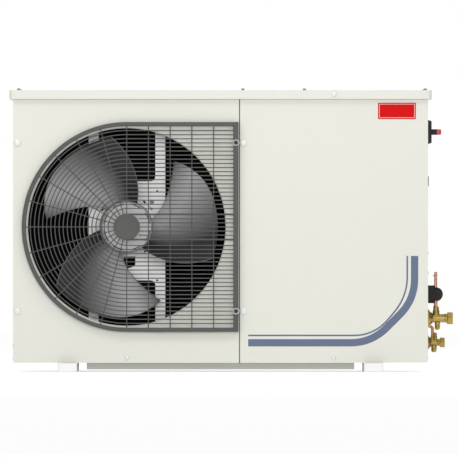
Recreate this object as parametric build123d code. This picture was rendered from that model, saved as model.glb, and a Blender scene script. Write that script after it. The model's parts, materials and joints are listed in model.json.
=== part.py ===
from build123d import *
import os
from dataclasses import dataclass
from math import cos, radians, sin

# Air-cooled condensing unit in a sheet-steel cabinet.
# X runs along the width, -Y is the front, +Z is up. The origin is the centre of the four
# anchor slots in the foot rails, on the ground. All sizes are in millimetres.

# ---- cabinet ---------------------------------------------------------------------------
BODY_WIDTH = 1022.0         # over the side panels
BODY_DEPTH = 420.0          # over the front and rear panels
BODY_HEIGHT = 671.6         # from the base pan's underside to the top of the lid
SHEET = 1.2                 # cabinet sheet
SEAM = 0.3                  # gap between two sheets that lap each other
LID_RIM = 22.0              # height of the lid's rim
LID_OVERHANG = 9.0          # reach of the lid beyond the panels
LID_CORNER = 10.0           # corner radius of the lid
PAN_FLANGE = 40.0           # height of the base pan's upturned edge
RETURN = 14.0               # inward return along the edges of the front and rear panels
SIDE_FLANGE = 25.0          # width of the flanges that the front and rear panels screw to
SPLIT_FROM_LEFT = 557.7     # joint between fan panel and service panel
SPLIT_GAP = 0.8             # dark line between these two panels
PARTITION_FROM_LEFT = 577.0 # wall between the fan and compressor compartments
COMPRESSOR_REAR_LEFT = 590.0  # left edge of the rear panel

# ---- feet ------------------------------------------------------------------------------
FOOT_HEIGHT = 22.4
FOOT_WIDTH = 49.0
FOOT_WALL = 2.0
FOOT_LIP = 12.0
FOOT_INSET = 134.0          # middle of a rail, from the side of the cabinet
FOOT_REACH = 30.0           # length of rail showing in front of and behind the body
ANCHOR_SLOT_WIDTH = 11.0
ANCHOR_SLOT_LENGTH = 19.0
STIFFENER_LENGTH = 660.0
STIFFENER_HEIGHT = 16.0
STIFFENER_WIDTH = 50.0
STIFFENER_FROM_FRONT = 30.0  # middle of a stiffener, from the front or rear face

# ---- fan -------------------------------------------------------------------------------
FAN_FROM_LEFT = 280.0       # fan axis, from the cabinet's left side
FAN_RISE = 10.1             # fan axis, above the middle of the front panel
FAN_RADIUS = 225.0
HUB_RADIUS = 64.0
HUB_LENGTH = 62.0
HUB_WALL = 2.6
HUB_SETBACK = 17.0          # from the panel's front face to the hub's front face
BLADE_COUNT = 3
BLADE_THICKNESS = 2.4
BLADE_CHORD_DEPTH = 60.0    # axial length of a blade
BLADE_SETBACK = 14.0        # from the panel's front face to the trailing edges
LEADING_ROOT = 137.0        # angles of the blade edges about the axis, in degrees
LEADING_SWEEP = 64.0
LEADING_CURL = 23.0
TRAILING_ROOT = 66.0
TRAILING_SWEEP = 33.5
OUTLET_RADIUS = 247.6       # hole in the fan panel, where the bend starts
COLLAR_BEND = 4.4           # outer bend radius where the panel turns into the collar
COLLAR_DEPTH = 34.0

# ---- fan motor -------------------------------------------------------------------------
ROTOR_RADIUS = 46.0
ROTOR_WALL = 3.0
AIR_GAP = 0.6
SHAFT_RADIUS = 6.0
BEARING_RADIUS = 13.0
BEARING_WIDTH = 9.0
MOTOR_NECK_RADIUS = 38.0
MOTOR_FLANGE_RADIUS = 54.0
MOTOR_FLANGE_THICKNESS = 4.0
MOTOR_ARM_WIDTH = 20.0
MOTOR_BOLT_CIRCLE = 87.0    # radius of the four motor bolts
MOTOR_BOLT_RADIUS = 3.0
RUNNING_FIT = 0.05          # radial clearance of shafts and stems

# ---- motor bracket ---------------------------------------------------------------------
BRACKET_SHEET = 2.0
BRACKET_SETBACK = 108.0     # from the panel's front face
BRACKET_HALF_WIDTH = 94.5
BRACKET_RAIL = 24.5
BRACKET_PLATE_TOP = 113.0   # above the fan axis
BRACKET_PLATE_BOTTOM = 132.0
BRACKET_FILLET = 12.0
BRACKET_EDGE = 18.0         # depth of the folded edges
BRACE_DROP = 24.0           # top brace: underside below the lid's underside
BRACE_WIDTH = 44.0

# ---- fan guard -------------------------------------------------------------------------
GUARD_RADIUS = 258.3        # outside of the frame's half circle
GUARD_BAND = 10.3
GUARD_RIGHT = 275.3         # from the fan axis to the frame's right-hand edge
GUARD_RIGHT_BAND = 12.5
GUARD_DEPTH = 14.0
GUARD_WALL = 2.0
WIRE = 2.5
FIRST_RING = 45.5
RING_PITCH = 10.1
RING_COUNT = 20
BAR_PITCH = 10.1            # short bars beside the disc
VERTICAL_PITCH = 53.5
SPOKE_ANGLE = 15
GUARD_DISC_RADIUS = 32.5
GUARD_DISC_THICKNESS = 6.0
GUARD_ROD = 4.4
GUARD_ROD_OFFSET = 31.0
GUARD_SCREW_HEIGHT = 207.5  # above and below the fan axis
GUARD_WASHER = 2.0
GUARD_WASHER_RADIUS = 7.0
GUARD_SOCKET_RADIUS = 3.6

# ---- condenser -------------------------------------------------------------------------
COIL_SETBACK = 45.0         # coil centre, in front of the rear face
HEADER_RADIUS = 14.0
HEADER_FLAT = 10.0          # distance of the header's flat side from its axis
HEADER_FROM_SIDE = 26.0
COIL_BOTTOM = 40.0          # above the base pan's underside
COIL_TOP = 28.0             # below the lid's underside
TUBE_DEPTH = 18.0
TUBE_HEIGHT = 2.0
TUBE_PITCH = 11.0
FIN_DEPTH = 16.0
COIL_GUARD_WIRE = 3.0
COIL_GUARD_PITCH = 50.0

# ---- compressor ------------------------------------------------------------------------
COMPRESSOR_FROM_RIGHT = 175.0
COMPRESSOR_Y = -20.0
COMPRESSOR_RADIUS = 88.0
COMPRESSOR_HEIGHT = 275.0
COMPRESSOR_SEAM = 190.0     # height of the weld lap on the shell
COMPRESSOR_FOOT = 82.0      # foot bolts, from the axis along X and Y
FOOT_PLATE = 4.0
GROMMET_RADIUS = 16.0
GROMMET_HEIGHT = 14.0
COMPRESSOR_BOLT_RADIUS = 4.0
TERMINAL_COVER_WIDTH = 68.0
TERMINAL_COVER_HEIGHT = 66.0
TERMINAL_COVER_RISE = 110.0   # above the underside of the shell
TERMINAL_COVER_REACH = 24.0   # in front of the shell
TERMINAL_COVER_ROUND = 8.0

# ---- receiver and liquid line ----------------------------------------------------------
RECEIVER_FROM_PARTITION = 84.0
RECEIVER_FROM_REAR = 72.0
RECEIVER_RADIUS = 50.0
RECEIVER_HEIGHT = 270.0
RECEIVER_PORT = 16.0        # the two ports, left and right of the receiver's axis
STRAP = 2.0
STRAP_WIDTH = 22.0
STRAP_TAB = 40.0
DRIER_FROM_RIGHT = 65.0
DRIER_FROM_REAR = 80.0
DRIER_RADIUS = 22.0
DRIER_LENGTH = 112.0
DRIER_BOTTOM = 190.0
SIGHT_GLASS_RADIUS = 11.0
SIGHT_GLASS_LENGTH = 40.0
SIGHT_GLASS_BOTTOM = 135.0

# ---- tubes -----------------------------------------------------------------------------
LIQUID_TUBE = 3.95          # radii of the copper tubes
SUCTION_TUBE = 4.8
DISCHARGE_TUBE = 4.8
TUBE_BEND = 16.0
SOCKET_WALL = 1.6
HOLE_CLEARANCE = 4.0        # round a tube that passes through a wall

# ---- electrical box --------------------------------------------------------------------
BOX_WIDTH = 316.5
BOX_RIGHT_GAP = 3.0         # between the box and the right side panel
BOX_DEPTH = 100.0
BOX_HEIGHT = 261.0
CONTACTOR_SIZE = (46.0, 46.0, 74.0)
CONTACTOR_NOSE = 16.0       # depth of its raised coil block
CONTACTOR_FROM_LEFT = 140.0
TERMINAL_WAYS = 8
TERMINAL_PITCH = 15.0
TERMINAL_DEPTH = 26.0
TERMINAL_HEIGHT = 32.0
CAPACITOR_RADIUS = 19.0
CAPACITOR_LENGTH = 90.0
CONTROL_INSET = 30.0        # first control, from the box's left side
CONTROL_GAP = 16.0          # between the terminals, the box's floor and what is above
SWITCH_Y = -140.0
SWITCH_BELOW_LID = 102.6
SWITCH_PLATE = 59.6         # square base plate at the wall
SWITCH_PLATE_THICKNESS = 9.5
SWITCH_PLATE_TAPER = 17.0   # degrees
SWITCH_COLLAR_RADIUS = 7.15
SWITCH_COLLAR_LENGTH = 9.0
SWITCH_SHAFT_RADIUS = 4.0
HANDLE_LENGTH = 44.0
HANDLE_THICKNESS = 14.3
HANDLE_HEIGHT = 14.5
TURNING_GAP = 0.3


@dataclass(frozen=True)
class Valve:
    """Sizes of one service valve on the right side panel; lengths run outwards along X."""
    y: float                # place of the axis on the panel
    z: float
    flange_radius: float
    flange: float           # thickness of the wall flange, with its cone
    body_radius: float
    body_end: float         # where the body meets the nut
    nut: float              # length of the flare nut
    nut_across: float       # across the flats
    connection: float       # radius of the field tube that the nut takes
    boss_x: float           # upright boss: centre, radius and top
    boss_radius: float
    boss_top: float
    stem_x: float           # stem: centre, and the cap over it
    cap_radius: float
    cap_top: float          # both below the axis
    cap_bottom: float
    ball: float             # radius of the ball
    passage: float          # radius of the drilled way through it


SUCTION = Valve(y=-80.0, z=131.8, flange_radius=23.0, flange=12.5, body_radius=10.5,
                body_end=49.0, nut=14.0, nut_across=29.5, connection=8.0, boss_x=21.5,
                boss_radius=8.5, boss_top=28.2, stem_x=24.8, cap_radius=6.4,
                cap_top=10.8, cap_bottom=28.8, ball=6.4, passage=3.2)
LIQUID = Valve(y=0.0, z=71.4, flange_radius=18.5, flange=9.4, body_radius=8.0,
               body_end=32.0, nut=12.0, nut_across=24.0, connection=4.86, boss_x=20.5,
               boss_radius=4.7, boss_top=24.6, stem_x=17.2, cap_radius=6.7,
               cap_top=8.4, cap_bottom=24.4, ball=4.6, passage=2.2)
STEM_RADIUS = 2.6
BALL_SHELL = 3.4            # brass round the ball
CAP_WALL = 1.8
RISER_X = 20.5              # upright suction tube, outwards from the side panel
RISER_TEE = 191.0           # height of the tee in the insulated suction tube
RISER_TOP = 246.0
STUB_RADIUS = 3.8
STUB_COLLAR = 236.7
INSULATION_RADIUS = 22.5
INSULATION_BALL = 18.0
INSULATION_INSIDE = 14.0    # length of insulation inside the cabinet
LIQUID_TUBE_X = 14.0
LIQUID_TUBE_ASIDE = 9.0     # behind the liquid valve's boss
LIQUID_TUBE_Z = 112.0

# ---- screws ----------------------------------------------------------------------------
SCREW_RADIUS = 2.4
SCREW_LENGTH = 12.0
SCREW_HOLE = 2.8
SCREW_HEAD_RADIUS = 5.3
SCREW_HEAD = 2.6
CAP_SCREW_RADIUS = 9.0
CAP_SCREW_HEAD = 4.5
CAP_SCREW_SPREAD = 207.2    # above and below the fan axis
CAP_SCREW_INSET = 11.0      # from the left side of the cabinet
SERVICE_SCREW_INSET = 9.3   # from the joint between the two front panels
PAN_SCREW_HEIGHT = 34.0
SERVICE_SCREW_FROM_RIGHT = 232.0
LID_SCREW_FROM_LEFT = 13.0
LID_SCREW_FROM_RIGHT = 6.0
LID_SCREW_FROM_PARTITION = 11.0
LID_SCREW_FROM_BOX = 17.0   # from the left side of the electrical box
LID_SCREW_Y = 150.0
LID_SCREW_HEAD = 5.0
LID_SCREW_HEAD_RADIUS = 4.6
LID_FRONT_SCREW_FROM_RIGHT = 231.0
LEFT_SIDE_SCREWS = (32.0, 65.8)
RIGHT_SIDE_SCREWS = (32.0, 244.0, 293.0)
SIDE_SCREW_Y = 165.0

# ---- louvres and glands ----------------------------------------------------------------
LOUVRE_COUNT = 12
LOUVRE_PITCH = 26.0
LOUVRE_LENGTH = 150.0
LOUVRE_HEIGHT = 12.0
LOUVRE_REACH = 7.0
LOUVRE_BOTTOM = 200.0
GLAND_RISE = 40.0           # above the floor of the electrical box
GLAND_Y = (-150.0, -110.0)
GLAND_BORE = 6.5
GLAND_RADIUS = 10.0
GLAND_NUT = 24.0            # across the flats, inside the box
GLAND_RIM_RADIUS = 13.0
GLAND_INSIDE = 11.6         # length of thread inside the box
GLAND_NUT_LENGTH = 6.0
GLAND_RIM = 2.4             # how far the rim stands out from the panel

# ---- places that follow ----------------------------------------------------------------
HALF_WIDTH = BODY_WIDTH / 2
HALF_DEPTH = BODY_DEPTH / 2
FOOT_SPACING = BODY_WIDTH - 2 * FOOT_INSET
PAN_Z = FOOT_HEIGHT
FLOOR_Z = PAN_Z + SHEET
LID_Z = PAN_Z + BODY_HEIGHT
UNDER_LID = LID_Z - SHEET
SPLIT_X = SPLIT_FROM_LEFT - HALF_WIDTH
PARTITION_X = PARTITION_FROM_LEFT - HALF_WIDTH
FAN_X = FAN_FROM_LEFT - HALF_WIDTH
FAN_Z = PAN_Z + (BODY_HEIGHT - LID_RIM) / 2 + FAN_RISE
FRONT = -HALF_DEPTH
BEHIND_FRONT = FRONT + SHEET + SEAM         # face that backs the front panels
INSIDE_FRONT = BEHIND_FRONT + SHEET + SEAM
INNER_HALF_WIDTH = HALF_WIDTH - SHEET - SEAM
INNER_HALF_DEPTH = HALF_DEPTH - SHEET - SEAM
COLLAR_RADIUS = OUTLET_RADIUS - COLLAR_BEND
BRACKET_Y = FRONT + BRACKET_SETBACK
BRACE_Z = UNDER_LID - BRACE_DROP
HUB_Y = FRONT + HUB_SETBACK
BLADE_Y = FRONT + BLADE_SETBACK
COIL_Y = HALF_DEPTH - COIL_SETBACK
GUARD_FACE = FRONT - GUARD_DEPTH
RING_FRONT = GUARD_FACE + 1.5
WIRE_PLANE = RING_FRONT + WIRE              # rings lie in front of it, spokes behind
BOX_RIGHT = INNER_HALF_WIDTH - BOX_RIGHT_GAP
BOX_LEFT = BOX_RIGHT - BOX_WIDTH
BOX_FRONT = FRONT + SHEET + RETURN + 2.0
BOX_BACK = BOX_FRONT + BOX_DEPTH
BOX_TOP = UNDER_LID - SHEET - 2 * SEAM      # below the side panel's flange
BOX_BOTTOM = BOX_TOP - BOX_HEIGHT
SWITCH_Z = LID_Z - SWITCH_BELOW_LID
GLAND_Z = BOX_BOTTOM + GLAND_RISE
COMPRESSOR_X = HALF_WIDTH - COMPRESSOR_FROM_RIGHT
RECEIVER_X = PARTITION_X + RECEIVER_FROM_PARTITION
RECEIVER_Y = HALF_DEPTH - RECEIVER_FROM_REAR
DRIER_X = HALF_WIDTH - DRIER_FROM_RIGHT
DRIER_Y = HALF_DEPTH - DRIER_FROM_REAR
SERVICE_SCREW_X = HALF_WIDTH - SERVICE_SCREW_FROM_RIGHT
LID_FRONT_SCREW_X = HALF_WIDTH - LID_FRONT_SCREW_FROM_RIGHT
CAP_SCREW_HEIGHTS = (FAN_Z - CAP_SCREW_SPREAD, FAN_Z + CAP_SCREW_SPREAD)
COMPRESSOR_Z = FLOOR_Z + GROMMET_HEIGHT + FOOT_PLATE
HEADER_LEFT = -HALF_WIDTH + HEADER_FROM_SIDE
HEADER_RIGHT = PARTITION_X - HEADER_FROM_SIDE


# ---- shapes used throughout ------------------------------------------------------------
def block(x, y, z):
    """Box between the two ends given for each axis."""
    centre = Pos((x[0] + x[1]) / 2, (y[0] + y[1]) / 2, (z[0] + z[1]) / 2)
    return centre * Box(x[1] - x[0], y[1] - y[0], z[1] - z[0])


def rod_x(radius, x, y, z):
    """Cylinder along X between the two ends in x."""
    return Pos((x[0] + x[1]) / 2, y, z) * Rot(0, 90, 0) * Cylinder(radius, x[1] - x[0])


def rod_y(radius, x, y, z):
    """Cylinder along Y between the two ends in y."""
    return Pos(x, (y[0] + y[1]) / 2, z) * Rot(90, 0, 0) * Cylinder(radius, y[1] - y[0])


def rod_z(radius, x, y, z):
    """Cylinder along Z between the two ends in z."""
    return Pos(x, y, (z[0] + z[1]) / 2) * Cylinder(radius, z[1] - z[0])


def plate_x(outline, x):
    """Sketch in (Y, Z), made solid between the two ends in x."""
    return extrude(Plane.YZ.offset(x[0]) * outline, amount=x[1] - x[0])


def plate_y(outline, y):
    """Sketch in (X, Z), made solid between the two ends in y."""
    return extrude(Plane.XZ.offset(-y[1]) * outline, amount=y[1] - y[0])


def plate_z(outline, z):
    """Sketch in (X, Y), made solid between the two ends in z."""
    return extrude(Plane.XY.offset(z[0]) * outline, amount=z[1] - z[0])


def turned_x(points, y, z):
    """Body turned about an X axis from (x, radius) points."""
    return Pos(0, y, z) * revolve(make_face(Polyline(*points, close=True)), axis=Axis.X)


def turned_y(points, x, z):
    """Body turned about a Y axis from (radius, y) points."""
    return Pos(x, 0, z) * revolve(make_face(Polyline(*points, close=True)), axis=Axis.Y)


def turned_z(points, x, y):
    """Body turned about a Z axis from (radius, z) points."""
    profile = Plane.XZ * make_face(Polyline(*points, close=True))
    return Pos(x, y, 0) * revolve(profile, axis=Axis.Z)


def hexagon(across, length):
    """Hexagonal bar along Z, flats facing +Y and -Y."""
    return extrude(RegularPolygon(across / 2, 6, major_radius=False, rotation=30), amount=length)


def pipe(points, radius, bend=TUBE_BEND):
    """Tube run through the points, with tangent bends."""
    path = FilletPolyline(*points, radius=bend)
    return sweep(Plane(origin=path @ 0, z_dir=path % 0) * Circle(radius), path=path)


def group(solids):
    """Separate solids kept in one node."""
    return Compound(children=list(solids))


# ---- base ------------------------------------------------------------------------------
def base_pan():
    pan = block((-INNER_HALF_WIDTH, INNER_HALF_WIDTH), (-INNER_HALF_DEPTH, INNER_HALF_DEPTH),
                (PAN_Z, PAN_Z + PAN_FLANGE))
    inner_x = INNER_HALF_WIDTH - SHEET
    inner_y = INNER_HALF_DEPTH - SHEET
    pan -= block((-inner_x, inner_x), (-inner_y, inner_y), (FLOOR_Z, PAN_Z + PAN_FLANGE))
    pan -= [rod_z(COMPRESSOR_BOLT_RADIUS + 0.5, x, y, (0, FLOOR_Z + 1))
            for x, y in compressor_bolt_places()]
    pan -= [rod_z(8, x, COIL_Y, (0, FLOOR_Z + 1)) for x in (FAN_X - 120, FAN_X + 120)]
    pan -= [rod_y(SCREW_HOLE, x, (FRONT, FRONT + 10), PAN_SCREW_HEIGHT)
            for x in (FAN_X, SERVICE_SCREW_X)]
    pan -= [rod_x(SCREW_HOLE, side_span(side), y, PAN_SCREW_HEIGHT - 2)
            for side in (-1, 1) for y in (-SIDE_SCREW_Y, SIDE_SCREW_Y)]
    return pan


def side_span(side):
    """X ends of a cutter that passes through one side of the cabinet."""
    ends = (side * (HALF_WIDTH - 30), side * (HALF_WIDTH + 1))
    return min(ends), max(ends)


def foot_rail(side):
    """C-shaped rail under the pan; its lips stop short of the anchor slots."""
    middle = side * FOOT_SPACING / 2
    outer = (middle - FOOT_WIDTH / 2, middle + FOOT_WIDTH / 2)
    inner = (outer[0] + FOOT_WALL, outer[1] - FOOT_WALL)
    slot = (inner[0] + FOOT_LIP, inner[1] - FOOT_LIP)
    reach = HALF_DEPTH + FOOT_REACH
    rail = block(outer, (-reach, reach), (0, FOOT_HEIGHT))
    rail -= block(inner, (-reach, reach), (FOOT_WALL, FOOT_HEIGHT - FOOT_WALL))
    rail -= block(slot, (-reach, reach), (FOOT_WALL, FOOT_HEIGHT))
    for end in (-1, 1):
        middle_y = end * (HALF_DEPTH + FOOT_REACH / 2)
        open_end = (middle_y - FOOT_REACH / 2, middle_y + FOOT_REACH / 2)
        rail -= block(inner, open_end, (FOOT_WALL, FOOT_HEIGHT))
        anchor = SlotOverall(ANCHOR_SLOT_LENGTH, ANCHOR_SLOT_WIDTH)
        rail -= plate_z(Pos(middle, middle_y) * anchor, (0, FOOT_WALL))
    return rail


def base_stiffeners():
    """Two channels across the underside of the pan, between the foot rails."""
    bars = []
    for end in (-1, 1):
        middle = end * (HALF_DEPTH - STIFFENER_FROM_FRONT)
        ends_y = (middle - STIFFENER_WIDTH / 2, middle + STIFFENER_WIDTH / 2)
        inner_y = (ends_y[0] + FOOT_WALL, ends_y[1] - FOOT_WALL)
        half = STIFFENER_LENGTH / 2
        bar = block((-half, half), ends_y, (PAN_Z - STIFFENER_HEIGHT, PAN_Z))
        bar -= block((-half, half), inner_y, (PAN_Z - STIFFENER_HEIGHT + FOOT_WALL, PAN_Z))
        bars.append(bar)
    return group(bars)


# ---- cabinet panels --------------------------------------------------------------------
def front_sheet(x):
    """Flat front panel with an inward return along its top edge."""
    top = UNDER_LID - SEAM
    panel = block(x, (FRONT, FRONT + SHEET), (PAN_Z, top))
    clear = (x[0] + SHEET + SEAM, x[1] - SHEET - SEAM)
    return panel + block(clear, (FRONT, FRONT + RETURN), (top - SHEET, top))


def fan_front_panel():
    right = SPLIT_X - SPLIT_GAP / 2
    panel = front_sheet((-HALF_WIDTH, right))
    tuck_y = (FRONT + SHEET, FRONT + 2 * SHEET)
    tuck_z = (PAN_Z + PAN_FLANGE + SEAM, UNDER_LID - SHEET - 3 * SEAM)
    panel += block((right - 3 * SHEET, PARTITION_X), tuck_y, tuck_z)
    panel -= rod_y(OUTLET_RADIUS, FAN_X, (FRONT - 1, FRONT + SHEET + 1), FAN_Z)
    panel += outlet_collar()
    panel -= cap_screw_holes()
    panel -= rod_y(SCREW_HOLE, FAN_X, (FRONT - 1, FRONT + 2), PAN_SCREW_HEIGHT)
    panel -= [rod_y(SCREW_HOLE, x, (FRONT - 1, FRONT + 4), z) for x, z in guard_screw_places()]
    return panel


def outlet_collar():
    """Ring that the panel turns inwards round the fan, with its bend."""
    deep = FRONT + COLLAR_DEPTH
    bend = FRONT + COLLAR_BEND
    outside = COLLAR_RADIUS + SHEET
    half = COLLAR_BEND * (1 - cos(radians(45)))
    inner_half = (COLLAR_BEND - SHEET) * (1 - cos(radians(45)))
    outline = [Line((OUTLET_RADIUS, FRONT + SHEET), (OUTLET_RADIUS, FRONT)),
               ThreePointArc((OUTLET_RADIUS, FRONT), (COLLAR_RADIUS + half, FRONT + half),
                             (COLLAR_RADIUS, bend)),
               Polyline((COLLAR_RADIUS, bend), (COLLAR_RADIUS, deep), (outside, deep),
                        (outside, bend)),
               ThreePointArc((outside, bend), (outside + inner_half, FRONT + SHEET + inner_half),
                             (OUTLET_RADIUS, FRONT + SHEET))]
    return Pos(FAN_X, 0, FAN_Z) * revolve(make_face(outline), axis=Axis.Y)


def service_panel():
    panel = front_sheet((SPLIT_X + SPLIT_GAP / 2, HALF_WIDTH))
    panel -= cap_screw_holes()
    panel -= rod_y(SCREW_HOLE, SERVICE_SCREW_X, (FRONT - 1, FRONT + 2), PAN_SCREW_HEIGHT)
    panel -= rod_y(SCREW_HOLE, LID_FRONT_SCREW_X, (FRONT - 1, FRONT + 2), lid_rim_middle())
    return panel


def lid_rim_middle():
    """Height of the screw in the front rim of the lid."""
    return LID_Z - LID_RIM * 0.43


def cap_screw_places():
    """(x, z) of the domed screws along the front panels."""
    edges = (CAP_SCREW_INSET - HALF_WIDTH, SPLIT_X + SERVICE_SCREW_INSET)
    return [(x, z) for x in edges for z in CAP_SCREW_HEIGHTS]


def cap_screw_holes():
    """Cutters for the domed screws, deep enough for every sheet behind."""
    return [rod_y(SCREW_HOLE, x, (FRONT - 1, FRONT + 8), z) for x, z in cap_screw_places()]


def guard_screw_places():
    """(x, z) of the two screws in the guard's right-hand bar."""
    x = FAN_X + GUARD_RIGHT - GUARD_RIGHT_BAND / 2
    return [(x, FAN_Z - GUARD_SCREW_HEIGHT), (x, FAN_Z + GUARD_SCREW_HEIGHT)]


def side_sheet(side):
    """Side panel: a flat sheet with flanges that lap behind the front and rear panels."""
    def across(a, b):
        """X ends, measured inwards from the outside of this side."""
        ends = (side * (HALF_WIDTH - a), side * (HALF_WIDTH - b))
        return min(ends), max(ends)

    top = UNDER_LID - SEAM
    near = HALF_DEPTH - SHEET - SEAM
    low = PAN_Z + PAN_FLANGE + SEAM
    high = top - 2 * SHEET - SEAM
    panel = block(across(0, SHEET), (-near, near), (PAN_Z, top))
    panel += block(across(0, SIDE_FLANGE), (-near, -near + SHEET), (low, high))
    panel += block(across(0, SIDE_FLANGE), (near - SHEET, near), (low, high))
    lap = HALF_DEPTH - RETURN - 2.0
    panel += block(across(0, SIDE_FLANGE), (-lap, lap), (top - SHEET, top))
    return panel


def left_side_panel():
    panel = side_sheet(-1)
    panel -= cap_screw_holes()
    panel -= side_screw_holes(-1, LEFT_SIDE_SCREWS)
    panel -= lid_screw_holes()
    return panel


def right_side_panel():
    panel = side_sheet(1)
    panel -= side_screw_holes(1, RIGHT_SIDE_SCREWS)
    panel -= lid_screw_holes()
    span = side_span(1)
    panel -= rod_x(SWITCH_SHAFT_RADIUS + HOLE_CLEARANCE, span, SWITCH_Y, SWITCH_Z)
    panel -= rod_x(INSULATION_RADIUS + SEAM, span, SUCTION.y, RISER_TEE)
    panel -= rod_x(LIQUID_TUBE + HOLE_CLEARANCE, span, LIQUID.y + LIQUID_TUBE_ASIDE, LIQUID_TUBE_Z)
    panel -= [rod_x(GLAND_RADIUS + SEAM, span, y, GLAND_Z) for y in GLAND_Y]
    panel -= rear_flange_holes(1)
    return panel


def side_screw_holes(side, heights):
    """Cutters for the screws along the lower edge of one side."""
    return [rod_x(SCREW_HOLE, side_span(side), y, z)
            for y in (-SIDE_SCREW_Y, SIDE_SCREW_Y) for z in heights]


def rear_screw_places():
    """(x, z) of the screws that hold the rear panel."""
    edges = (PARTITION_X + SIDE_FLANGE - 8, HALF_WIDTH - CAP_SCREW_INSET)
    return [(x, z) for x in edges for z in CAP_SCREW_HEIGHTS]


def rear_flange_holes(side):
    """Cutters for the rear panel's screws on one side of the compressor compartment."""
    return [rod_y(SCREW_HOLE, x, (HALF_DEPTH - 8, HALF_DEPTH + 1), z)
            for x, z in rear_screw_places() if (x > COMPRESSOR_X) == (side > 0)]


def rear_panel():
    """Rear panel of the compressor compartment, with two banks of louvres."""
    left = COMPRESSOR_REAR_LEFT - HALF_WIDTH - SHEET - 10
    top = UNDER_LID - SEAM
    panel = block((left, HALF_WIDTH), (HALF_DEPTH - SHEET, HALF_DEPTH), (PAN_Z, top))
    clear = (left + SHEET + SEAM, HALF_WIDTH - SHEET - SEAM)
    panel += block(clear, (HALF_DEPTH - RETURN, HALF_DEPTH), (top - SHEET, top))
    panel -= rear_flange_holes(-1)
    panel -= rear_flange_holes(1)
    middle = (PARTITION_X + HALF_WIDTH) / 2
    for x in (middle - LOUVRE_LENGTH * 0.6, middle + LOUVRE_LENGTH * 0.6):
        for row in range(LOUVRE_COUNT):
            z = LOUVRE_BOTTOM + row * LOUVRE_PITCH
            hood, mouth = louvre(x, z)
            panel = panel - mouth + hood
    return panel


def louvre(x, z):
    """Pressed hood, open downwards, and the mouth that is cut behind it."""
    wall = HALF_DEPTH
    ends = (x - LOUVRE_LENGTH / 2, x + LOUVRE_LENGTH / 2)
    skin = [(wall, z + LOUVRE_HEIGHT), (wall + LOUVRE_REACH, z),
            (wall + LOUVRE_REACH - SHEET, z), (wall - SHEET, z + LOUVRE_HEIGHT - SHEET)]
    hood = plate_x(make_face(Polyline(*skin, close=True)), ends)
    mouth = block((ends[0] + SHEET, ends[1] - SHEET), (wall - SHEET, wall),
                  (z, z + LOUVRE_HEIGHT - 2 * SHEET))
    return hood, mouth


def top_lid():
    """Tray-shaped lid whose rim turns in below to meet the panels."""
    half_x = HALF_WIDTH + LID_OVERHANG
    half_y = HALF_DEPTH + LID_OVERHANG
    low = LID_Z - LID_RIM
    lid = plate_z(RectangleRounded(2 * half_x, 2 * half_y, LID_CORNER), (low, LID_Z))
    inside = RectangleRounded(2 * (half_x - SHEET), 2 * (half_y - SHEET), LID_CORNER - SHEET)
    lid -= plate_z(inside, (low + SHEET, UNDER_LID))
    mouth = Rectangle(BODY_WIDTH + 2 * SEAM, BODY_DEPTH + 2 * SEAM)
    lid -= plate_z(mouth, (low, low + SHEET))
    lid -= lid_screw_holes()
    lid -= rod_y(SCREW_HOLE, LID_FRONT_SCREW_X, (-half_y - 1, FRONT - 1), lid_rim_middle())
    return lid


def lid_screw_places():
    """(x, y) of the screws in the top of the lid."""
    along = (LID_SCREW_FROM_LEFT - HALF_WIDTH, PARTITION_X - LID_SCREW_FROM_PARTITION,
             HALF_WIDTH - LID_SCREW_FROM_RIGHT)
    outer = [(x, y) for x in along for y in (-LID_SCREW_Y, LID_SCREW_Y)]
    return outer + [(BOX_LEFT + LID_SCREW_FROM_BOX, -LID_SCREW_Y)]


def lid_screw_holes():
    """Cutters for the lid screws, deep enough for the flange below the lid."""
    return [rod_z(SCREW_HOLE, x, y, (UNDER_LID - 6, LID_Z + 1)) for x, y in lid_screw_places()]


def partition():
    """Wall between the two compartments, flanged all round."""
    web = (PARTITION_X, PARTITION_X + SHEET)
    top = UNDER_LID - SEAM
    front = INSIDE_FRONT
    rear = HALF_DEPTH - SHEET - SEAM
    flange = (PARTITION_X - SIDE_FLANGE + 4, PARTITION_X + SHEET)
    lap = HALF_DEPTH - RETURN - 2.0
    wall = block(web, (front, rear), (PAN_Z + PAN_FLANGE + 2 * SEAM, top - 2 * SHEET - SEAM))
    wall += block(web, (front + 2 * SHEET, rear - 2 * SHEET), (FLOOR_Z, top))
    wall -= block(web, (front, front + RETURN), (top - 3 * SHEET, top))
    wall += block(flange, (front, front + SHEET), (PAN_Z + PAN_FLANGE + 2 * SEAM, top - 10))
    wall += block((web[0], web[0] + SIDE_FLANGE), (rear - SHEET, rear),
                  (PAN_Z + PAN_FLANGE + 2 * SEAM, top - 10))
    wall += block(flange, (-lap + 10, lap - 10), (top - SHEET, top))
    wall += block((web[0], web[0] + SIDE_FLANGE), (-lap + 10, lap - 10), (FLOOR_Z, FLOOR_Z + SHEET))
    wall -= cap_screw_holes()
    wall -= lid_screw_holes()
    wall -= rear_flange_holes(-1)
    span = (PARTITION_X - 1, PARTITION_X + SHEET + 1)
    wall -= rod_x(DISCHARGE_TUBE + HOLE_CLEARANCE, span, COMPRESSOR_Y, discharge_height())
    wall -= rod_x(LIQUID_TUBE + HOLE_CLEARANCE, span, condensate_y(), condensate_height())
    return wall


# ---- fan guard -------------------------------------------------------------------------
def guard_outline(radius, right):
    """Half circle on the left, square on the right, about the fan axis."""
    return Circle(radius) + Pos(right / 2, 0) * Rectangle(right, 2 * radius)


def on_fan_axis(outline, y):
    """Sketch about the fan axis, made solid between the two ends in y."""
    return Pos(FAN_X, 0, FAN_Z) * plate_y(outline, y)


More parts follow.
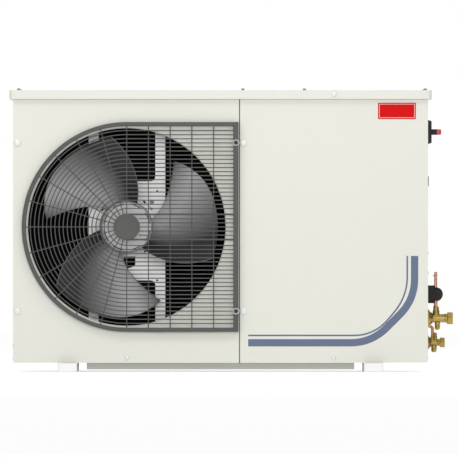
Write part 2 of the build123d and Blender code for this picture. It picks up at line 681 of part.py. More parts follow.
def guard_frame():
    """Channel-shaped band round the guard, open towards the panel."""
    outer = guard_outline(GUARD_RADIUS, GUARD_RIGHT)
    inner = guard_outline(GUARD_RADIUS - GUARD_BAND, GUARD_RIGHT - GUARD_RIGHT_BAND)
    frame = on_fan_axis(outer - inner, (GUARD_FACE, FRONT))
    groove_out = guard_outline(GUARD_RADIUS - GUARD_WALL, GUARD_RIGHT - GUARD_WALL)
    groove_in = guard_outline(GUARD_RADIUS - GUARD_BAND + GUARD_WALL,
                              GUARD_RIGHT - GUARD_RIGHT_BAND + GUARD_WALL)
    frame -= on_fan_axis(groove_out - groove_in, (GUARD_FACE + GUARD_WALL, FRONT))
    frame -= [rod_y(SCREW_HOLE, x, (GUARD_FACE - 1, FRONT), z) for x, z in guard_screw_places()]
    return frame


def guard_opening(y):
    """Space inside the frame, between the two ends in y."""
    return on_fan_axis(guard_outline(GUARD_RADIUS - GUARD_BAND, GUARD_RIGHT - GUARD_RIGHT_BAND), y)


def guard_rings():
    """Front layer of wires: arcs on the left that run on as straight bars on the right."""
    right = GUARD_RIGHT - GUARD_RIGHT_BAND
    layer = (RING_FRONT, WIRE_PLANE)
    wires = []
    for ring in range(RING_COUNT):
        radius = FIRST_RING + ring * RING_PITCH
        outline = guard_outline(radius + WIRE / 2, right) - guard_outline(radius - WIRE / 2, right)
        wires.append(on_fan_axis(outline, layer))
    disc = rod_y(GUARD_DISC_RADIUS, FAN_X, layer, FAN_Z)
    for step in (-2, -1, 0, 1, 2):
        z = FAN_Z + step * BAR_PITCH
        bar = block((FAN_X, FAN_X + right), layer, (z - WIRE / 2, z + WIRE / 2))
        wires.append(bar - disc)
    return group(wires)


def guard_spokes():
    """Rear layer of wires: spokes on the left and upright bars on the right."""
    layer = (WIRE_PLANE, WIRE_PLANE + WIRE)
    reach = GUARD_RADIUS - GUARD_BAND
    start = GUARD_DISC_RADIUS - 4
    wires = []
    for angle in range(90, 271, SPOKE_ANGLE):
        spoke = block((start, reach + 1), layer, (-WIRE / 2, WIRE / 2))
        wires.append(Pos(FAN_X, 0, FAN_Z) * Rot(0, -angle, 0) * spoke & guard_opening(layer))
    for step in (1, 2, 3, 4):
        x = FAN_X + step * VERTICAL_PITCH
        wires.append(block((x - WIRE / 2, x + WIRE / 2), layer, (FAN_Z - reach, FAN_Z + reach)))
    return group(wires)


def guard_disc():
    """Blank disc in front of the hub, and the two stout rods that carry it."""
    disc = turned_y([(0, WIRE_PLANE - GUARD_DISC_THICKNESS),
                     (GUARD_DISC_RADIUS - 3, WIRE_PLANE - GUARD_DISC_THICKNESS),
                     (GUARD_DISC_RADIUS, WIRE_PLANE - GUARD_DISC_THICKNESS + 2),
                     (GUARD_DISC_RADIUS, WIRE_PLANE), (0, WIRE_PLANE)], FAN_X, FAN_Z)
    right = FAN_X + GUARD_RIGHT - GUARD_RIGHT_BAND
    for side in (-1, 1):
        z = FAN_Z + side * GUARD_ROD_OFFSET
        disc += block((FAN_X, right), (WIRE_PLANE - GUARD_ROD, WIRE_PLANE),
                      (z - GUARD_ROD / 2, z + GUARD_ROD / 2))
    return disc


# ---- fan and motor ---------------------------------------------------------------------
def blade_point(radius, share):
    """Point on a blade; share runs from the leading edge (0) to the trailing edge (1)."""
    span = (radius - HUB_RADIUS) / (FAN_RADIUS - HUB_RADIUS)
    leading = LEADING_ROOT + LEADING_SWEEP * span - LEADING_CURL * span ** 2
    trailing = TRAILING_ROOT + TRAILING_SWEEP * span
    angle = radians(leading + (trailing - leading) * share)
    forward = BLADE_CHORD_DEPTH * (0.35 * share + 0.65 * share ** 2.4)
    y = BLADE_Y + BLADE_CHORD_DEPTH - forward
    return FAN_X + radius * cos(angle), y, FAN_Z + radius * sin(angle)


def fan_impeller():
    """Moulded hub with ribs behind its face, and the sickle blades that grow out of it."""
    rear = HUB_Y + HUB_LENGTH
    hub = turned_y([(0, HUB_Y), (HUB_RADIUS - 3, HUB_Y), (HUB_RADIUS, HUB_Y + 3),
                    (HUB_RADIUS, rear), (HUB_RADIUS - HUB_WALL, rear),
                    (HUB_RADIUS - HUB_WALL, HUB_Y + HUB_WALL), (0, HUB_Y + HUB_WALL)],
                   FAN_X, FAN_Z)
    sleeve = ROTOR_RADIUS + SEAM
    hub += on_fan_axis(Circle(sleeve + HUB_WALL) - Circle(sleeve), (HUB_Y + HUB_WALL, rear))
    for rib in range(6):
        web = block((sleeve + 1, HUB_RADIUS - 1), (HUB_Y + HUB_WALL, rear - 6), (-1.2, 1.2))
        hub += Pos(FAN_X, 0, FAN_Z) * Rot(0, 60 * rib, 0) * web
    slot = SlotArc(CenterArc((0, 0), HUB_RADIUS - 7, 8, 29), 2.4)
    slots = Sketch() + PolarLocations(0, 8) * slot
    hub -= on_fan_axis(slots, (HUB_Y, HUB_Y + 1.2))
    steps = [HUB_RADIUS - 1 + (FAN_RADIUS - HUB_RADIUS + 1) * row / 5 for row in range(6)]
    grid = [[blade_point(radius, share / 6) for share in range(7)] for radius in steps]
    blade = thicken(Face.make_surface_from_array_of_points(grid), amount=BLADE_THICKNESS)
    axis = Axis((FAN_X, 0, FAN_Z), (0, 1, 0))
    for turn in range(BLADE_COUNT):
        hub += blade.rotate(axis, turn * 360 / BLADE_COUNT)
    return hub


def fan_rotor():
    """External rotor can of the fan motor, with its shaft."""
    front = HUB_Y + HUB_WALL
    rear = BRACKET_Y - 14
    tip = BRACKET_Y + BRACKET_SHEET + MOTOR_FLANGE_THICKNESS - 2
    inner = ROTOR_RADIUS - ROTOR_WALL
    return turned_y([(0, front), (ROTOR_RADIUS - 3, front), (ROTOR_RADIUS, front + 3),
                     (ROTOR_RADIUS, rear), (inner, rear), (inner, front + 4),
                     (SHAFT_RADIUS + 4, front + 4), (SHAFT_RADIUS + 4, front + 7),
                     (SHAFT_RADIUS, front + 7), (SHAFT_RADIUS, tip), (0, tip)], FAN_X, FAN_Z)


def bearing_spans():
    """Y ends of the front and rear bearing."""
    front = HUB_Y + HUB_WALL + 8
    rear = BRACKET_Y + BRACKET_SHEET - 2
    return [(front, front + BEARING_WIDTH), (rear - BEARING_WIDTH, rear)]


def fan_stator():
    """Wound stator with its mounting flange behind the bracket."""
    front, rear = bearing_spans()
    behind = BRACKET_Y + BRACKET_SHEET
    end = behind + MOTOR_FLANGE_THICKNESS
    outer = ROTOR_RADIUS - ROTOR_WALL - AIR_GAP
    stack_end = BRACKET_Y - 18
    seat = BEARING_RADIUS
    bore = SHAFT_RADIUS + 2
    stator = turned_y([(seat, front[0]), (seat + 3, front[0]), (outer, front[0] + 6),
                       (outer, stack_end), (MOTOR_NECK_RADIUS, stack_end + 2),
                       (MOTOR_NECK_RADIUS, behind), (MOTOR_FLANGE_RADIUS, behind),
                       (MOTOR_FLANGE_RADIUS, end), (bore, end), (bore, rear[1]),
                       (seat, rear[1]), (seat, rear[0]), (bore, rear[0]), (bore, front[1]),
                       (seat, front[1])], FAN_X, FAN_Z)
    for angle in (45, 135, 225, 315):
        half = MOTOR_ARM_WIDTH / 2
        arm = block((MOTOR_FLANGE_RADIUS - 6, MOTOR_BOLT_CIRCLE), (behind, end), (-half, half))
        arm += rod_y(half, MOTOR_BOLT_CIRCLE, (behind, end), 0)
        arm -= rod_y(MOTOR_BOLT_RADIUS + 0.3, MOTOR_BOLT_CIRCLE, (behind, end), 0)
        stator += Pos(FAN_X, 0, FAN_Z) * Rot(0, -angle, 0) * arm
    return stator


def fan_bearings():
    """Front and rear bearing of the fan motor."""
    ring = Circle(BEARING_RADIUS) - Circle(SHAFT_RADIUS + RUNNING_FIT)
    return group(on_fan_axis(ring, span) for span in bearing_spans())


def motor_bracket():
    """Two upright rails with the motor plate between them, cut from one folded sheet."""
    bottom = FLOOR_Z - FAN_Z
    top = BRACE_Z - FAN_Z
    half = BRACKET_HALF_WIDTH
    sheet = Pos(0, (bottom + top) / 2) * Rectangle(2 * half, top - bottom)
    gap = 2 * (half - BRACKET_RAIL)
    for low, high in ((BRACKET_PLATE_TOP, top), (bottom, -BRACKET_PLATE_BOTTOM)):
        window = Rectangle(gap, high - low - 16)
        window = fillet(window.vertices(), BRACKET_FILLET)
        lift = 8 if low > 0 else -8
        sheet -= Pos(0, (low + high) / 2 - lift) * window
    sheet -= Circle(MOTOR_NECK_RADIUS + 1)
    sheet -= PolarLocations(0, 4) * SlotArc(CenterArc((0, 0), 75, 36, 20), 5)
    sheet -= PolarLocations(MOTOR_BOLT_CIRCLE, 4, 45) * Circle(MOTOR_BOLT_RADIUS + 0.3)
    cable = Circle(29) & Pos(6, -14.5) * Rectangle(29, 29)
    sheet -= Pos(0, -73) * cable
    sheet -= [Pos(side * 74.5, z) * Circle(2.5) for side in (-1, 1) for z in (88.5, -131.6)]
    bracket = on_fan_axis(sheet, (BRACKET_Y, BRACKET_Y + BRACKET_SHEET))
    folded = (BRACKET_Y, BRACKET_Y + BRACKET_EDGE)
    for side in (-1, 1):
        edges = (FAN_X + side * half, FAN_X + side * (half - BRACKET_SHEET))
        bracket += block((min(edges), max(edges)), folded, (FLOOR_Z, BRACE_Z))
    ends = (FAN_X - half, FAN_X + half)
    bracket += block(ends, folded, (FLOOR_Z, FLOOR_Z + BRACKET_SHEET))
    bracket += block(ends, folded, (BRACE_Z - BRACKET_SHEET, BRACE_Z))
    return bracket


def top_brace():
    """Channel under the lid that ties the motor bracket to the side panel and partition."""
    ends_x = (-INNER_HALF_WIDTH + SHEET, PARTITION_X - SEAM)
    ends_y = (BRACKET_Y - 6, BRACKET_Y - 6 + BRACE_WIDTH)
    top = UNDER_LID - SHEET - 3 * SEAM
    brace = block(ends_x, ends_y, (BRACE_Z, top - SHEET))
    inner = (ends_y[0] + SHEET, ends_y[1] - SHEET)
    return brace - block(ends_x, inner, (BRACE_Z + SHEET, top))


def motor_bolts():
    """Four bolts through the bracket into the motor's arms."""
    front = BRACKET_Y
    end = BRACKET_Y + BRACKET_SHEET + MOTOR_FLANGE_THICKNESS
    bolts = []
    for angle in (45, 135, 225, 315):
        bolt = rod_y(MOTOR_BOLT_RADIUS, MOTOR_BOLT_CIRCLE, (front, end + 3), 0)
        bolt += rod_y(5.5, MOTOR_BOLT_CIRCLE, (front - 4, front), 0)
        bolt += rod_y(5.5, MOTOR_BOLT_CIRCLE, (end, end + 4), 0)
        bolts.append(Pos(FAN_X, 0, FAN_Z) * Rot(0, -angle, 0) * bolt)
    return group(bolts)


# ---- condenser -------------------------------------------------------------------------
def coil_heights():
    """Bottom and top of the finned part of the coil."""
    return PAN_Z + COIL_BOTTOM, UNDER_LID - COIL_TOP


def tube_heights():
    """Centre heights of the flat tubes."""
    low, high = coil_heights()
    count = int((high - low - TUBE_PITCH) / TUBE_PITCH)
    return [low + TUBE_PITCH * (row + 0.5) for row in range(count + 1)]


def coil_span():
    """X ends of the flat tubes, on the flats of the two headers."""
    return HEADER_LEFT + HEADER_FLAT, HEADER_RIGHT - HEADER_FLAT


def condenser_headers():
    """Upright headers with a flat for the tubes; the right one has both connections."""
    low, high = coil_heights()
    headers = []
    for x, flat in ((HEADER_LEFT, 1), (HEADER_RIGHT, -1)):
        cut = Circle(HEADER_RADIUS)
        cut -= Pos(flat * (HEADER_FLAT + HEADER_RADIUS), 0) * Rectangle(2 * HEADER_RADIUS,
                                                                       4 * HEADER_RADIUS)
        headers.append(Pos(x, COIL_Y) * plate_z(cut, (FLOOR_Z + SHEET, high + 14)))
    for z, radius in ((discharge_height(), DISCHARGE_TUBE), (condensate_height(), LIQUID_TUBE)):
        headers[1] += rod_y(radius + SOCKET_WALL, HEADER_RIGHT, (port_y(), COIL_Y), z)
    return group(headers)


def port_y():
    """Front face of the sockets on the right header."""
    return COIL_Y - HEADER_RADIUS - 8


def condenser_tubes():
    """Flat tubes from header to header."""
    half = TUBE_HEIGHT / 2
    depth = (COIL_Y - TUBE_DEPTH / 2, COIL_Y + TUBE_DEPTH / 2)
    return group(block(coil_span(), depth, (z - half, z + half)) for z in tube_heights())


def condenser_fins():
    """Bands of folded fin between the tubes, each as one closed strip."""
    left, right = coil_span()
    depth = (COIL_Y - FIN_DEPTH / 2, COIL_Y + FIN_DEPTH / 2)
    half = TUBE_HEIGHT / 2
    heights = tube_heights()
    return group(block((left + 2, right - 2), depth, (low + half, high - half))
                 for low, high in zip(heights[:-1], heights[1:]))


def condenser_frame():
    """Channels that hold the coil's lower and upper edge."""
    left, right = coil_span()
    half = TUBE_DEPTH / 2 + SHEET + SEAM
    low = tube_heights()[0] - TUBE_HEIGHT / 2
    high = tube_heights()[-1] + TUBE_HEIGHT / 2
    bottom = block((left + 1, right - 1), (COIL_Y - half, COIL_Y + half), (FLOOR_Z, low + 8))
    bottom -= block((left, right), (COIL_Y - half + SHEET, COIL_Y + half - SHEET), (low, low + 8))
    bottom -= block((left, right), (COIL_Y - half + SHEET, COIL_Y + half - SHEET),
                    (FLOOR_Z, low - SHEET))
    top = block((left + 1, right - 1), (COIL_Y - half, COIL_Y + half), (high - 8, UNDER_LID - SEAM))
    top -= block((left, right), (COIL_Y - half + SHEET, COIL_Y + half - SHEET), (high - 8, high))
    top -= block((left, right), (COIL_Y - half + SHEET, COIL_Y + half - SHEET),
                 (high + SHEET, UNDER_LID))
    return group([bottom, top])


def coil_guard():
    """Welded wire grid behind the coil, on the flanges of the side panel and partition."""
    wire = COIL_GUARD_WIRE
    left = -HALF_WIDTH + 8
    right = COMPRESSOR_REAR_LEFT - HALF_WIDTH - SHEET - 14
    low = PAN_Z + 20
    high = UNDER_LID - 30
    near = HALF_DEPTH - SHEET
    rows = int((high - low) / COIL_GUARD_PITCH)
    columns = int((right - left) / COIL_GUARD_PITCH)
    grid = []
    for row in range(rows + 1):
        z = low + (high - low) * row / rows
        grid.append(block((left, right), (near, near + wire), (z - wire / 2, z + wire / 2)))
    for column in range(columns + 1):
        x = left + (right - left) * column / columns
        grid.append(block((x - wire / 2, x + wire / 2), (near + wire, near + 2 * wire),
                          (low - wire / 2, high + wire / 2)))
    return group(grid)


# ---- compressor ------------------------------------------------------------------------
def compressor_bolt_places():
    """(x, y) of the compressor's four feet."""
    return [(COMPRESSOR_X + a * COMPRESSOR_FOOT, COMPRESSOR_Y + b * COMPRESSOR_FOOT)
            for a in (-1, 1) for b in (-1, 1)]


def compressor_port(x_offset):
    """Place of the discharge port on the shell's crown."""
    return COMPRESSOR_X + x_offset, COMPRESSOR_Y, COMPRESSOR_Z + COMPRESSOR_HEIGHT + 6


def compressor_shell():
    """Welded steel shell: domed ends, a lap seam, and its two ports."""
    r = COMPRESSOR_RADIUS
    z = COMPRESSOR_Z
    high = z + COMPRESSOR_HEIGHT
    lap = z + COMPRESSOR_SEAM
    outline = [Polyline((0, z), (r * 0.62, z)),
               TangentArc((r * 0.62, z), (r - 3, z + r * 0.36), tangent=(1, 0)),
               Polyline((r - 3, z + r * 0.36), (r - 3, lap), (r, lap + 3), (r, high - r * 0.42)),
               ThreePointArc((r, high - r * 0.42), (r * 0.84, high - r * 0.1), (r * 0.5, high)),
               Polyline((r * 0.5, high), (0, high), (0, z))]
    shell = revolve(Plane.XZ * make_face(outline), axis=Axis.Z)
    shell = Pos(COMPRESSOR_X, COMPRESSOR_Y, 0) * shell
    x, y, top = compressor_port(-30)
    shell += rod_z(DISCHARGE_TUBE + SOCKET_WALL, x, y, (high - 2, top))
    shell += rod_x(SUCTION_TUBE + SOCKET_WALL, (COMPRESSOR_X + r - 8, suction_port_x()),
                   COMPRESSOR_Y, RISER_TEE)
    return shell


def suction_port_x():
    """Outer face of the suction port on the shell's side."""
    return COMPRESSOR_X + COMPRESSOR_RADIUS + 8


def compressor_feet():
    """Pressed foot plate under the shell, with a hole for each grommet."""
    size = 2 * (COMPRESSOR_FOOT + GROMMET_RADIUS + 3)
    outline = Rectangle(size, size)
    outline -= [Rot(0, 0, turn) * Pos(size / 2, 0) * Circle(COMPRESSOR_FOOT * 0.55)
                for turn in (0, 90, 180, 270)]
    outline = Pos(COMPRESSOR_X, COMPRESSOR_Y) * outline
    outline -= [Pos(x, y) * Circle(GROMMET_RADIUS - 5 + SEAM) for x, y in compressor_bolt_places()]
    return plate_z(outline, (COMPRESSOR_Z - FOOT_PLATE, COMPRESSOR_Z))


def compressor_grommets():
    """Rubber grommets between the foot plate and the base pan."""
    low = COMPRESSOR_Z - FOOT_PLATE
    bore = COMPRESSOR_BOLT_RADIUS + 0.3
    neck = GROMMET_RADIUS - 5
    return group(turned_z([(bore, FLOOR_Z), (GROMMET_RADIUS, FLOOR_Z),
                           (GROMMET_RADIUS - 2, (FLOOR_Z + low) / 2), (GROMMET_RADIUS, low),
                           (neck, low), (neck, COMPRESSOR_Z + 5), (bore, COMPRESSOR_Z + 5)], x, y)
                 for x, y in compressor_bolt_places())


def compressor_bolts():
    """Studs that stand in the pan, with a washer and nut on each grommet."""
    top = COMPRESSOR_Z + 5
    bolts = []
    for x, y in compressor_bolt_places():
        bolt = rod_z(COMPRESSOR_BOLT_RADIUS, x, y, (PAN_Z, top + 2))
        bolt += rod_z(GROMMET_RADIUS - 3, x, y, (top, top + 1.6))
        bolt += Pos(x, y, top + 1.6) * hexagon(13, 5.4)
        bolts.append(bolt)
    return group(bolts)


def terminal_cover():
    """Moulded cover over the compressor's terminals, hugging the shell."""
    half = TERMINAL_COVER_WIDTH / 2
    front = COMPRESSOR_Y - COMPRESSOR_RADIUS - TERMINAL_COVER_REACH
    low = COMPRESSOR_Z + TERMINAL_COVER_RISE
    cover = block((COMPRESSOR_X - half, COMPRESSOR_X + half),
                  (front, COMPRESSOR_Y - COMPRESSOR_RADIUS * 0.5),
                  (low, low + TERMINAL_COVER_HEIGHT))
    cover = fillet(cover.edges().filter_by(Axis.Z).group_by(Axis.Y)[0], TERMINAL_COVER_ROUND)
    return cover - rod_z(COMPRESSOR_RADIUS - 3 + SEAM, COMPRESSOR_X, COMPRESSOR_Y, (0, LID_Z))


# ---- receiver, drier and tubes ---------------------------------------------------------
def discharge_height():
    """Height of the discharge tube's run to the condenser."""
    return UNDER_LID - COIL_TOP - 62


def condensate_height():
    """Height of the liquid tube that leaves the condenser."""
    return PAN_Z + COIL_BOTTOM + 30


def condensate_y():
    """Place of the liquid tube where it passes the partition."""
    return RECEIVER_Y - RECEIVER_RADIUS - 20


def receiver_top():
    """Top face of the receiver's two ports."""
    return FLOOR_Z + RECEIVER_HEIGHT + 8


def liquid_receiver():
    """Upright receiver: skirt, domed ends and two ports."""
    r = RECEIVER_RADIUS
    high = FLOOR_Z + RECEIVER_HEIGHT
    outline = [Polyline((0, FLOOR_Z + 10), (r - 8, FLOOR_Z + 10), (r - 8, FLOOR_Z),
                        (r + 4, FLOOR_Z), (r + 4, FLOOR_Z + 2), (r, FLOOR_Z + 3),
                        (r, high - r * 0.5)),
               ThreePointArc((r, high - r * 0.5), (r * 0.78, high - r * 0.12), (r * 0.4, high)),
               Polyline((r * 0.4, high), (0, high), (0, FLOOR_Z + 10))]
    tank = revolve(Plane.XZ * make_face(outline), axis=Axis.Z)
    tank = Pos(RECEIVER_X, RECEIVER_Y, 0) * tank
    for side in (-1, 1):
        tank += rod_z(LIQUID_TUBE + SOCKET_WALL, RECEIVER_X + side * RECEIVER_PORT, RECEIVER_Y,
                      (high - 6, receiver_top()))
    return tank


def receiver_strap():
    """Strap round the receiver, with its tab on the partition."""
    low = FLOOR_Z + RECEIVER_HEIGHT * 0.6
    inner = RECEIVER_RADIUS + SEAM
    wall = PARTITION_X + SHEET - RECEIVER_X
    arm = inner - STRAP_TAB / 4
    strap = Circle(inner + STRAP) + Pos(wall / 2, arm) * Rectangle(-wall, STRAP * 1.5)
    strap += Pos(wall + STRAP / 2, inner - STRAP_TAB / 2) * Rectangle(STRAP, STRAP_TAB)
    strap -= Circle(inner)
    return plate_z(Pos(RECEIVER_X, RECEIVER_Y) * strap, (low, low + STRAP_WIDTH))


def filter_drier():
    """Filter drier: a cylinder that necks down to the tube at both ends."""
    low = DRIER_BOTTOM
    high = low + DRIER_LENGTH
    neck = LIQUID_TUBE + SOCKET_WALL
    return turned_z([(0, low), (neck, low), (neck, low + 8), (DRIER_RADIUS, low + 24),
                     (DRIER_RADIUS, high - 24), (neck, high - 8), (neck, high), (0, high)],
                    DRIER_X, DRIER_Y)


def sight_glass():
    """Brass sight glass with its round window facing the front."""
    low = SIGHT_GLASS_BOTTOM
    high = low + SIGHT_GLASS_LENGTH
    middle = (low + high) / 2
    neck = LIQUID_TUBE + SOCKET_WALL
    glass = rod_z(neck, DRIER_X, DRIER_Y, (low, high))
    glass += rod_y(SIGHT_GLASS_RADIUS, DRIER_X, (DRIER_Y - 16, DRIER_Y + 8), middle)
    return glass - rod_y(SIGHT_GLASS_RADIUS - 3, DRIER_X, (DRIER_Y - 16, DRIER_Y - 13), middle)


def discharge_line():
    """Hot-gas tube from the compressor's crown to the top of the condenser."""
    x, y, z = compressor_port(-30)
    high = discharge_height()
    return pipe([(x, y, z), (x, y, high), (HEADER_RIGHT, y, high), (HEADER_RIGHT, port_y(), high)],
                DISCHARGE_TUBE)


def condensate_line():
    """Tube from the foot of the condenser up to the receiver's inlet."""
    z = condensate_height()
    y = condensate_y()
    x = RECEIVER_X - RECEIVER_PORT
    over = receiver_top() + 40
    return pipe([(HEADER_RIGHT, port_y(), z), (HEADER_RIGHT, y, z), (x, y, z), (x, y, over),
                 (x, RECEIVER_Y, over), (x, RECEIVER_Y, receiver_top())], LIQUID_TUBE)


def drier_line():
    """Tube from the receiver's outlet over to the filter drier."""
    x = RECEIVER_X + RECEIVER_PORT
    over = receiver_top() + 70
    return pipe([(x, RECEIVER_Y, receiver_top()), (x, RECEIVER_Y, over), (DRIER_X, DRIER_Y, over),
                 (DRIER_X, DRIER_Y, DRIER_BOTTOM + DRIER_LENGTH)], LIQUID_TUBE)


def liquid_line():
    """Short tube between drier and sight glass, and the run out to the liquid valve."""
    gap = pipe_between(SIGHT_GLASS_BOTTOM + SIGHT_GLASS_LENGTH, DRIER_BOTTOM)
    x = HALF_WIDTH + LIQUID_TUBE_X
    y = LIQUID.y + LIQUID_TUBE_ASIDE
    z = LIQUID_TUBE_Z
    run = pipe([(DRIER_X, DRIER_Y, SIGHT_GLASS_BOTTOM), (DRIER_X, DRIER_Y, z), (DRIER_X, y, z),
                (x, y, z), (x, y, liquid_socket_top())], LIQUID_TUBE, bend=9.0)
    return group([gap, run])


def pipe_between(low, high):
    """Straight upright tube on the drier's axis."""
    return rod_z(LIQUID_TUBE, DRIER_X, DRIER_Y, (low, high))


def suction_line():
    """Tube from the tee in the insulation to the compressor's suction port."""
    start = HALF_WIDTH + RISER_X - 10
    middle = (HALF_WIDTH + suction_port_x()) / 2 - 10
    return pipe([(start, SUCTION.y, RISER_TEE), (middle, SUCTION.y, RISER_TEE),
                 (middle, COMPRESSOR_Y, RISER_TEE), (suction_port_x(), COMPRESSOR_Y, RISER_TEE)],
                SUCTION_TUBE)


def suction_riser():
    """Upright tube on the suction valve: tee in the insulation, charging stub above."""
    x = HALF_WIDTH + RISER_X
    low = SUCTION.z + SUCTION.boss_top
    riser = turned_z([(0, low), (SUCTION_TUBE, low), (SUCTION_TUBE, RISER_TEE + 8),
                      (STUB_RADIUS, RISER_TEE + 12), (STUB_RADIUS, STUB_COLLAR - 1.2),
                      (STUB_RADIUS * 2, STUB_COLLAR - 1.2), (STUB_RADIUS * 2, STUB_COLLAR + 1.2),
                      (STUB_RADIUS, STUB_COLLAR + 1.2), (STUB_RADIUS, RISER_TOP), (0, RISER_TOP)],
                     x, SUCTION.y)
    return riser + rod_x(SUCTION_TUBE + SOCKET_WALL, (x - 10, x), SUCTION.y, RISER_TEE)


def suction_insulation():
    """Foam sleeve over the tee, through the side panel."""
    x = HALF_WIDTH + RISER_X
    gap = 0.3
    foam = rod_x(INSULATION_RADIUS, (HALF_WIDTH - INSULATION_INSIDE, x - 3), SUCTION.y, RISER_TEE)
    foam += Pos(x, SUCTION.y, RISER_TEE) * Sphere(INSULATION_BALL)
    foam -= rod_z(SUCTION_TUBE + gap, x, SUCTION.y, (RISER_TEE - 40, RISER_TEE + 40))
    socket = SUCTION_TUBE + SOCKET_WALL + gap
    return foam - rod_x(socket, (HALF_WIDTH - INSULATION_INSIDE, x), SUCTION.y, RISER_TEE)


# ---- service valves --------------------------------------------------------------------
def valve_body(valve):
    """Brass body: coned wall flange, barrel, upright boss and stem boss, drilled for the ball."""
    x = HALF_WIDTH
    cone = valve.flange * 0.25
    body = turned_x([(x, 0), (x, valve.flange_radius), (x + cone, valve.flange_radius),
                     (x + valve.flange, valve.body_radius + 1.5),
                     (x + valve.flange + 1, valve.body_radius),
                     (x + valve.body_end, valve.body_radius), (x + valve.body_end, 0)],
                    valve.y, valve.z)
    stem_x = x + valve.stem_x
    boss_x = x + valve.boss_x
    top = valve.z + valve.boss_top
    body += rod_z(valve.boss_radius, boss_x, valve.y, (valve.z, top))
    body += Pos(stem_x, valve.y, valve.z) * Sphere(valve.ball + BALL_SHELL)
    body += rod_z(cap_bore(valve) - SEAM, stem_x, valve.y, (stem_boss_end(valve), valve.z))
    body -= Pos(stem_x, valve.y, valve.z) * Sphere(valve.ball + RUNNING_FIT)
    body -= rod_x(valve.passage, (stem_x, x + valve.body_end), valve.y, valve.z)
    body -= rod_z(STEM_RADIUS + RUNNING_FIT, stem_x, valve.y, (stem_boss_end(valve), valve.z))
    return body


def cap_bore(valve):
    """Inner radius of the stem cap."""
    return valve.cap_radius - CAP_WALL


def stem_boss_end(valve):
    """Lower end of the boss that carries the cap."""
    return valve.z - valve.cap_top - 5


def liquid_socket_top():
    """Top of the socket that takes the liquid tube."""
    return LIQUID.z + 14.6


def liquid_valve_body():
    """Liquid valve, with the extra socket beside its boss for the tube from the cabinet."""
    socket = rod_z(LIQUID_TUBE + SOCKET_WALL, HALF_WIDTH + LIQUID_TUBE_X,
                   LIQUID.y + LIQUID_TUBE_ASIDE, (LIQUID.z + LIQUID.passage, liquid_socket_top()))
    bridge = block((HALF_WIDTH + LIQUID_TUBE_X - 4, HALF_WIDTH + LIQUID_TUBE_X + 4),
                   (LIQUID.y, LIQUID.y + LIQUID_TUBE_ASIDE),
                   (LIQUID.z + LIQUID.ball + 1, LIQUID.z + LIQUID.ball + 7))
    return valve_body(LIQUID) + socket + bridge


def valve_nut(valve):
    """Flare nut on the valve's outlet, bored for the field tube."""
    start = HALF_WIDTH + valve.body_end
    nut = Rot(0, 90, 0) * (Rot(0, 0, 90) * hexagon(valve.nut_across, valve.nut))
    nut = Pos(start, valve.y, valve.z) * nut
    return nut - rod_x(valve.connection, (start, start + valve.nut), valve.y, valve.z)


def valve_stem(valve):
    """Ball with an angled passage, and the squared stem that turns it."""
    x = HALF_WIDTH + valve.stem_x
    low = valve.z - valve.cap_bottom + CAP_WALL + 1
    stem = Pos(x, valve.y, valve.z) * Sphere(valve.ball)
    stem -= rod_x(valve.passage, (x, x + valve.ball), valve.y, valve.z)
    stem += rod_z(STEM_RADIUS, x, valve.y, (low, valve.z - valve.passage - 0.5))
    flats = STEM_RADIUS * 0.72
    end = block((x - 2 * STEM_RADIUS, x + 2 * STEM_RADIUS),
                (valve.y - 2 * STEM_RADIUS, valve.y + 2 * STEM_RADIUS), (low, low + 4))
    end -= block((x - flats, x + flats), (valve.y - flats, valve.y + flats), (low, low + 4))
    return stem - end


def valve_cap(valve):
    """Domed cap over the end of a stem."""
    low = valve.z - valve.cap_bottom
    high = valve.z - valve.cap_top
    bore = cap_bore(valve)
    r = valve.cap_radius
    return turned_z([(0, low), (r * 0.6, low), (r, low + r * 0.5), (r, high), (bore, high),
                     (bore, low + r * 0.5), (bore * 0.6, low + CAP_WALL), (0, low + CAP_WALL)],
                    HALF_WIDTH + valve.stem_x, valve.y)


# ---- electrical box --------------------------------------------------------------------
def electrical_box():
    """Tray for the controls, open to the front, hung from the lid's flange screw."""
    box = block((BOX_LEFT, BOX_RIGHT), (BOX_FRONT, BOX_BACK), (BOX_BOTTOM, BOX_TOP))
    box -= block((BOX_LEFT + SHEET, BOX_RIGHT - SHEET), (BOX_FRONT, BOX_BACK - SHEET),
                 (BOX_BOTTOM + SHEET, BOX_TOP - SHEET))
    box -= rod_x(SWITCH_SHAFT_RADIUS + HOLE_CLEARANCE, side_span(1), SWITCH_Y, SWITCH_Z)
    box -= [rod_x(GLAND_RADIUS + SEAM, side_span(1), y, GLAND_Z) for y in GLAND_Y]
    return box - lid_screw_holes()


def electrical_cover():
    """Flat cover on the front of the electrical box."""
    return block((BOX_LEFT, BOX_RIGHT), (BOX_FRONT - SHEET, BOX_FRONT), (BOX_BOTTOM, BOX_TOP - 4))


def controls_floor():
    """Underside of the contactor and capacitor, above the row of terminals."""
    return BOX_BOTTOM + SHEET + TERMINAL_HEIGHT + 2 * CONTROL_GAP


def contactor():
    """Contactor on the box's back wall, with its raised coil block."""
    back = BOX_BACK - SHEET
    left = BOX_LEFT + CONTACTOR_FROM_LEFT
    width, depth, height = CONTACTOR_SIZE
    low = controls_floor()
    body = block((left, left + width), (back - depth, back), (low, low + height))
    nose = block((left + width * 0.13, left + width * 0.87),
                 (back - depth - CONTACTOR_NOSE, back - depth),
                 (low + height * 0.22, low + height * 0.78))
    return body + nose


